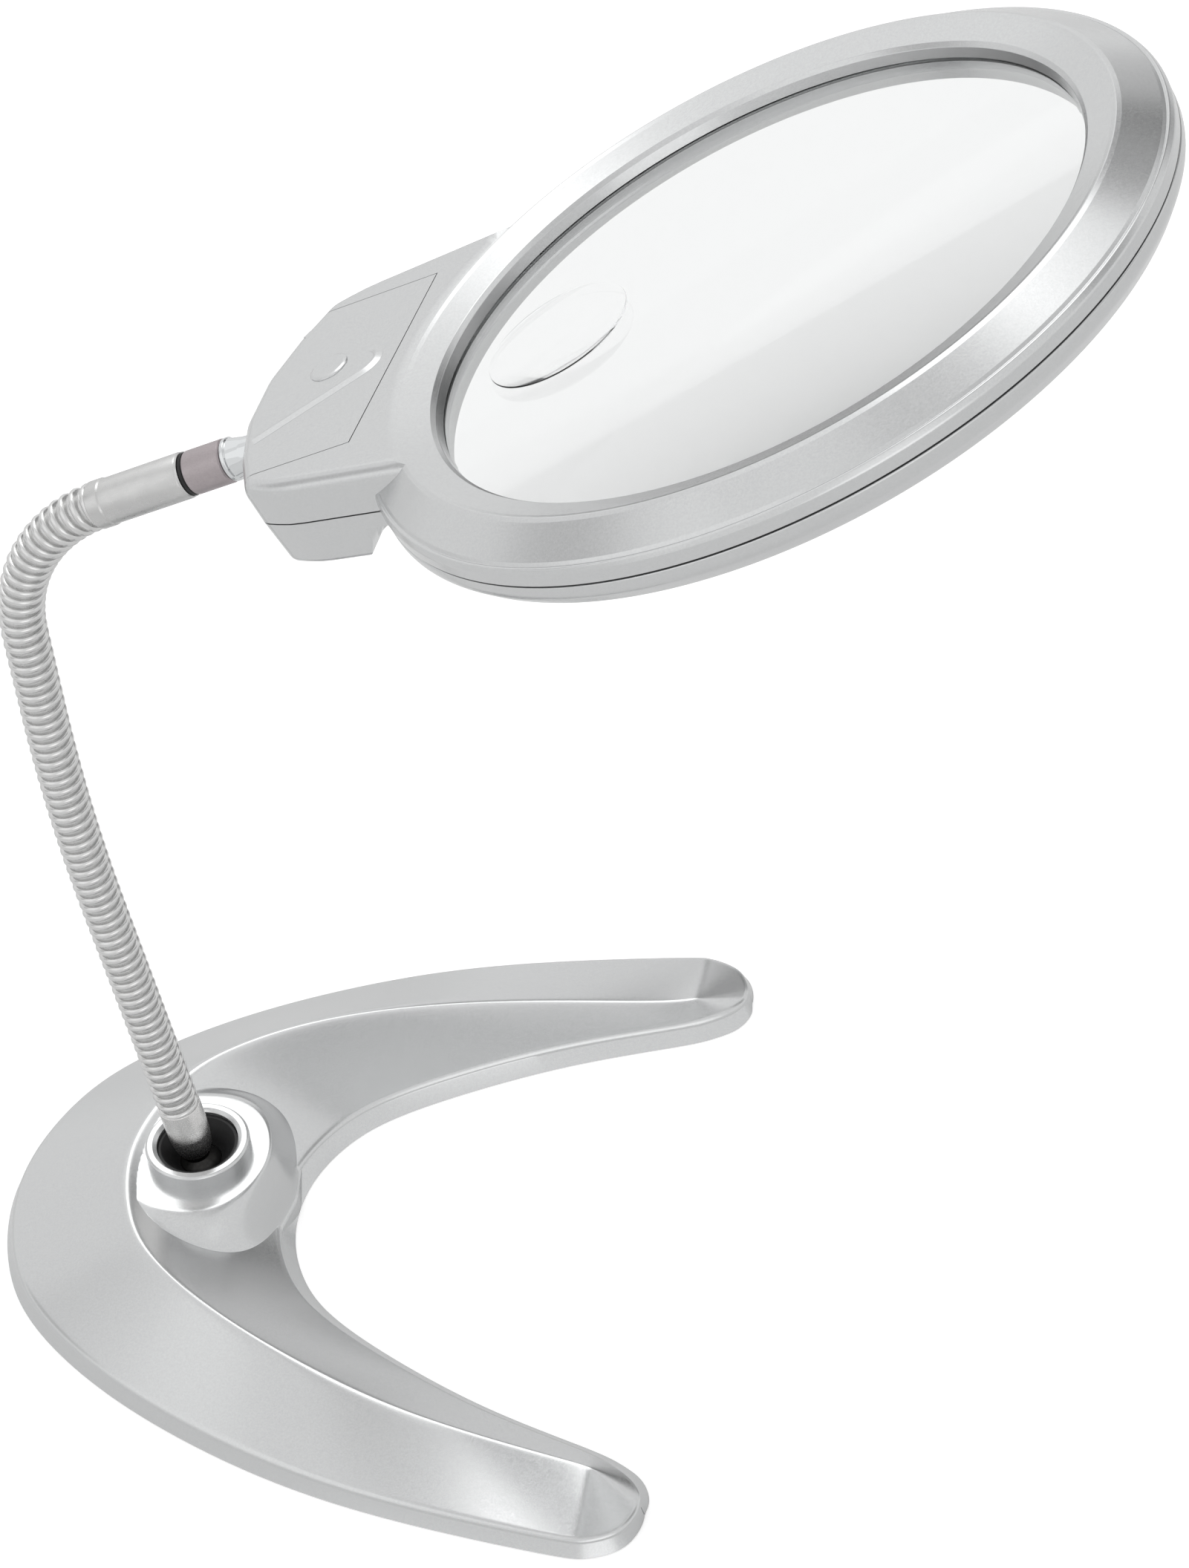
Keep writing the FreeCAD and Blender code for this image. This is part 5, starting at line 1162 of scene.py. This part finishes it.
class MAGNIFIER_OT_power(bpy.types.Operator):
    """Adds the three cells, their springs and contact plates"""

    bl_idname = "magnifier.power"
    bl_label = "Cells and contacts"

    def execute(self, context):
        springs, plates = [], []
        for i in range(3):
            x, side = -(CELL_FRONT + CELL_PITCH * i), 1 if i % 2 == 0 else -1

            def facing(y, way):
                return HOUSING @ place_at((x, y, CELL_LEVEL), (0, way, 0), (1, 0, 0))

            place = facing(-20.5 * side, side)
            jacket = turned("jacket", [(3.9, 0.35), (5.05, 0.35, 0.3), (5.25, 0.8, 0.2), (5.25, 42.6, 0.4),
                (4.7, 43.1, 0.3), (3.9, 43.1)], "cell_can", place, segments=64)
            can = turned("can", [
                (0, 0.25), (3.2, 0.25), (3.5, 0.0, 0.2), (4.6, 0.0, 0.3), (4.9, 0.5), (4.9, 42.9, 0.4),
                (3.6, 43.2, 0.3), (2.6, 43.25),
                (2.3, 43.4, 0.2), (1.9, 43.6, 0.2), (1.9, 44.3, 0.3), (1.5, 44.5, 0.2), (0, 44.5)],
                "cell_end", place, segments=64)
            dress(joined("cell_%d" % (i + 1), [jacket, can]), "cell_can", "battery_%d" % (i + 1))
            count, wire, turns = 120, 0.28, 3.0
            points, faces = [], []
            for k in range(count + 1):
                t = k / count
                a = 2 * math.pi * turns * t
                lift = 0.3 + 2.85 * min(1.0, max(0.0, (t - 0.12) / 0.76))
                r = 2.9 - 0.9 * t
                for j in range(8):
                    b = 2 * math.pi * j / 8
                    points.append(((r + wire * math.cos(b)) * math.cos(a),
                        (r + wire * math.cos(b)) * math.sin(a), lift + wire * math.sin(b)))
            for k in range(count):
                for j in range(8):
                    faces.append([k * 8 + j, k * 8 + (j + 1) % 8, (k + 1) * 8 + (j + 1) % 8, (k + 1) * 8 + j])
            faces += [list(range(8)), [count * 8 + j for j in range(8)]]
            springs.append(make_piece("spring", points, faces, "cell_end", facing(-24.0 * side, side), 60))
            for way in (1, -1):
                corners = soften([(-4.5, -4.5, 0.8), (4.5, -4.5, 0.8), (4.5, 4.5, 0.8), (-4.5, 4.5, 0.8)],
                    True)
                plates.append(stacked("plate", [[(u, v, z) for u, v in corners] for z in (0.0, 0.4)],
                    "cell_end", facing(24.0 * way, way)))
        dress(joined("cell_springs", springs), "bright_steel", "contact_springs")
        dress(joined("cell_plates", plates), "bright_steel", "contact_plates")
        return {"FINISHED"}


class MAGNIFIER_OT_lamps(bpy.types.Operator):
    """Adds the two lamps beside the lens and their boards"""

    bl_idname = "magnifier.lamps"
    bl_label = "Lamps"

    def execute(self, context):
        lamps = []
        for side in (1, -1):
            x, y = on_circle(RIM_CIRCLE, side * LAMP_ANGLE)
            dome = [(2.5 * math.sin(math.radians(a)), -9.6 + 2.5 - 2.5 * math.cos(math.radians(a)))
                for a in range(0, 91, 10)]
            lamps.append(turned("lamp", [(0, -9.6)] + dome[1:] + [(2.5, -3.3), (2.5, -2.4, 0.1), (0, -2.4)],
                "lamp_lens", shifted(HEAD, x, y), segments=48))
        dress(joined("lamp_pair", lamps), "lamp_lens", "led_lamps")
        coat("circuit_board", "led_boards")
        return {"FINISHED"}


class MAGNIFIER_OT_switch(bpy.types.Operator):
    """Moulds the ribbed slide switch under the housing"""

    bl_idname = "magnifier.switch"
    bl_label = "Slide switch"

    def execute(self, context):
        def slab(name, low, high, radius):
            x0, y0, x1, y1 = low[0], low[1], high[0], high[1]
            plan = soften([(x0, y0, radius), (x1, y0, radius), (x1, y1, radius), (x0, y1, radius)], True)
            return stacked(name, [[(x, y, z) for x, y in plan] for z in (low[2], high[2])], "black_socket",
                HEAD)
        knob = slab("slide_knob", (-94.0, -4.5, -14.3), (-90.0, 0.5, -10.95 + 0.8), 0.6)
        grooves = [box_piece("rib", (-95, y - 0.22, -14.6), (-89, y + 0.22, -13.85), HEAD)
            for y in (-3.7, -2.85, -2.0, -1.15, -0.3)]
        carve(knob, grooves)
        flange = slab("flange", (-95.5, -10.0, -10.95), (-88.5, 2.0, -10.15), 0.6)
        carve(knob, [flange], "UNION")
        dress(knob, "black_socket", "switch_slider")
        return {"FINISHED"}


class MAGNIFIER_OT_shell_screws(bpy.types.Operator):
    """Adds the six screws that hold the head shells together"""

    bl_idname = "magnifier.shell_screws"
    bl_label = "Shell screws"

    def execute(self, context):
        pieces = []
        for i, (x, y, kind) in enumerate(shell_screw_spots()):
            foot, top = (-10.0, -8.0, -8.5)[kind], (3.0, 3.0, 1.0)[kind]
            screw = cross_screw((1.75, 2.1, 2.1)[kind], 1.2, 1.2, top - foot - 1.2)
            screw.data.transform(shifted(HOUSING, x, y, foot) @ Matrix.Rotation(0.5 * i, 4, "Z"))
            pieces.append(screw)
        dress(joined("head_screws", pieces), "zinc_screw", "shell_screws")
        return {"FINISHED"}


# Camera as solved from the photograph: its turn, its place in metres, its focal length and height in pixels
CAMERA_TURN, CAMERA_PLACE = (2.283, 0.161, -0.191), (0.2442, -0.5493, 0.6242)
FOCAL_PIXELS, PICTURE_PIXELS, SENSOR = 5000, 2112, 36.0
# Studio: a white room with bright boxes and grey screens.
# Each has its direction, half angle, soft edge and change of level.
ROOM_LEVEL = 0.93
SOFT_BOXES = (
    ((-0.19, 0.49, 0.85), 13, 6, 1.5), ((0.25, -0.10, 0.96), 9, 13, -0.2), ((0.06, 0.80, 0.60), 10, 6, -0.7),
    ((0.45, -0.86, 0.24), 12, 14, 0.5), ((0.10, 0.45, 0.888), 4, 5, -0.5),
    ((-0.21, 0.08, 0.975), 7, 6, -0.25),
    ((0.69, 0.25, 0.68), 9, 10, -0.5), ((0.33, 0.92, 0.23), 10, 12, -0.55),
    ((-0.93, -0.05, 0.38), 7, 8, -0.35),
)


def soft_light(name, at, towards, width, height, power):
    lamp = bpy.data.lights.new(name, "AREA")
    lamp.shape, lamp.size, lamp.size_y, lamp.energy = "RECTANGLE", width, height, power
    lamp_object = bpy.data.objects.new(name, lamp)
    lamp_object.location = at
    lamp_object.rotation_euler = (Vector(towards) - Vector(at)).to_track_quat("-Z", "Y").to_euler()
    bpy.context.scene.collection.objects.link(lamp_object)
    return lamp_object


def pale_floor():
    # Painted studio floor: white to the camera and through the lens, a plain pale grey in reflections.
    material = bpy.data.materials.new("white_studio_floor")
    material.use_nodes = True
    tree = material.node_tree
    tree.nodes.clear()
    path = add_node(tree, "ShaderNodeLightPath")
    seen = add_node(tree, "ShaderNodeMath", links={0: path.outputs["Is Camera Ray"],
        1: path.outputs["Is Transmission Ray"]}, operation="ADD", use_clamp=True)
    glow = add_node(tree, "ShaderNodeMath", {1: 0.36}, {0: seen.outputs[0]}, operation="MULTIPLY")
    paint = add_node(tree, "ShaderNodeBsdfDiffuse", {"Color": linear("#E9E9E9")})
    light = add_node(tree, "ShaderNodeEmission", {"Color": (1, 1, 1, 1)}, {"Strength": glow.outputs[0]})
    both = add_node(tree, "ShaderNodeAddShader", links={0: paint.outputs[0], 1: light.outputs[0]})
    add_node(tree, "ShaderNodeOutputMaterial", links={"Surface": both.outputs[0]})
    return material


class MAGNIFIER_OT_stage(bpy.types.Operator):
    """Sets up the pale floor, the soft lights and the camera"""

    bl_idname = "magnifier.stage"
    bl_label = "Studio"

    def execute(self, context):
        scene = context.scene
        mesh = bpy.data.meshes.new("studio_floor")
        mesh.from_pydata([(-6, -6, 0), (6, -6, 0), (6, 6, 0), (-6, 6, 0)], [], [[0, 1, 2, 3]])
        mesh.materials.append(pale_floor())
        floor = bpy.data.objects.new("studio_floor", mesh)
        scene.collection.objects.link(floor)

        world = bpy.data.worlds.new("studio")
        scene.world = world
        world.use_nodes = True
        tree = world.node_tree
        tree.nodes.clear()
        coords = add_node(tree, "ShaderNodeTexCoord")
        level = None
        for direction, half_angle, soft_angle, change in SOFT_BOXES:
            facing = add_node(tree, "ShaderNodeVectorMath", {1: Vector(direction).normalized()},
                {0: coords.outputs["Generated"]}, operation="DOT_PRODUCT")
            far, near = math.cos(math.radians(half_angle + soft_angle)), math.cos(math.radians(half_angle))
            values = {"From Min": far, "From Max": near, "To Min": 0.0, "To Max": change}
            share = add_node(tree, "ShaderNodeMapRange", values,
                {"Value": facing.outputs["Value"]}).outputs["Result"]
            plus = add_node(tree, "ShaderNodeMath", {0: ROOM_LEVEL}, {1: share}, operation="ADD")
            if level:
                tree.links.new(level, plus.inputs[0])
            level = plus.outputs[0]
        path = add_node(tree, "ShaderNodeLightPath")
        sky = add_node(tree, "ShaderNodeBackground", {"Color": (1, 1, 1, 1)}, {"Strength": level})
        white = add_node(tree, "ShaderNodeBackground", {"Color": (1, 1, 1, 1), "Strength": 1.0})
        seen = add_node(tree, "ShaderNodeMath", links={0: path.outputs["Is Camera Ray"],
            1: path.outputs["Is Transmission Ray"]}, operation="ADD", use_clamp=True)
        both = add_node(tree, "ShaderNodeMixShader",
            links={0: seen.outputs[0], 1: sky.outputs[0], 2: white.outputs[0]})
        add_node(tree, "ShaderNodeOutputWorld", links={"Surface": both.outputs[0]})

        middle = (0.06, 0.0, 0.12)
        soft_light("key", (-0.21, 0.65, 1.15), middle, 1.5, 1.5, 1.0)
        soft_light("fill", (-1.2, -1.1, 1.2), middle, 1.6, 1.6, 1.5)

        turn = Vector(CAMERA_TURN)
        to_camera = Matrix.Rotation(turn.length, 3, turn.normalized())
        axes = Matrix((to_camera[0], -to_camera[1], -to_camera[2])).transposed().to_4x4()
        lens = bpy.data.cameras.new("camera")
        lens.sensor_width, lens.lens, lens.clip_start = SENSOR, FOCAL_PIXELS / PICTURE_PIXELS * SENSOR, 0.01
        camera = bpy.data.objects.new("camera", lens)
        camera.matrix_world = Matrix.Translation(CAMERA_PLACE) @ axes
        scene.collection.objects.link(camera)
        scene.camera = camera
        scene.view_settings.view_transform = "Standard"
        return {"FINISHED"}


PIECES = (
    MAGNIFIER_OT_foot_shell, MAGNIFIER_OT_foot_fittings, MAGNIFIER_OT_pivot, MAGNIFIER_OT_neck,
    MAGNIFIER_OT_fittings, MAGNIFIER_OT_head_shells, MAGNIFIER_OT_battery_door, MAGNIFIER_OT_lens,
    MAGNIFIER_OT_power, MAGNIFIER_OT_lamps, MAGNIFIER_OT_switch, MAGNIFIER_OT_shell_screws,
    MAGNIFIER_OT_stage,
)


class MAGNIFIER_PT_panel(bpy.types.Panel):
    """Lists the pieces, sizes and colours of the magnifier"""

    bl_idname = "MAGNIFIER_PT_panel"
    bl_label = "Stand Magnifier"
    bl_space_type = "VIEW_3D"
    bl_region_type = "UI"
    bl_category = "Magnifier"

    def draw(self, context):
        layout = self.layout
        for group in (context.scene.magnifier_sizes, context.scene.magnifier_colours):
            column = layout.column(align=True)
            for name in group.__annotations__:
                column.prop(group, name)
        for piece in PIECES:
            layout.operator(piece.bl_idname)


CLASSES = (MagnifierSizes, MagnifierColours) + PIECES + (MAGNIFIER_PT_panel,)


def register():
    for item in CLASSES:
        bpy.utils.register_class(item)
    bpy.types.Scene.magnifier_sizes = bpy.props.PointerProperty(type=MagnifierSizes)
    bpy.types.Scene.magnifier_colours = bpy.props.PointerProperty(type=MagnifierColours)


def unregister():
    del bpy.types.Scene.magnifier_sizes
    del bpy.types.Scene.magnifier_colours
    for item in reversed(CLASSES):
        bpy.utils.unregister_class(item)


def main():
    register()
    for piece in PIECES:
        group, name = piece.bl_idname.split(".")
        getattr(getattr(bpy.ops, group), name)()


if __name__ == "__main__":
    main()
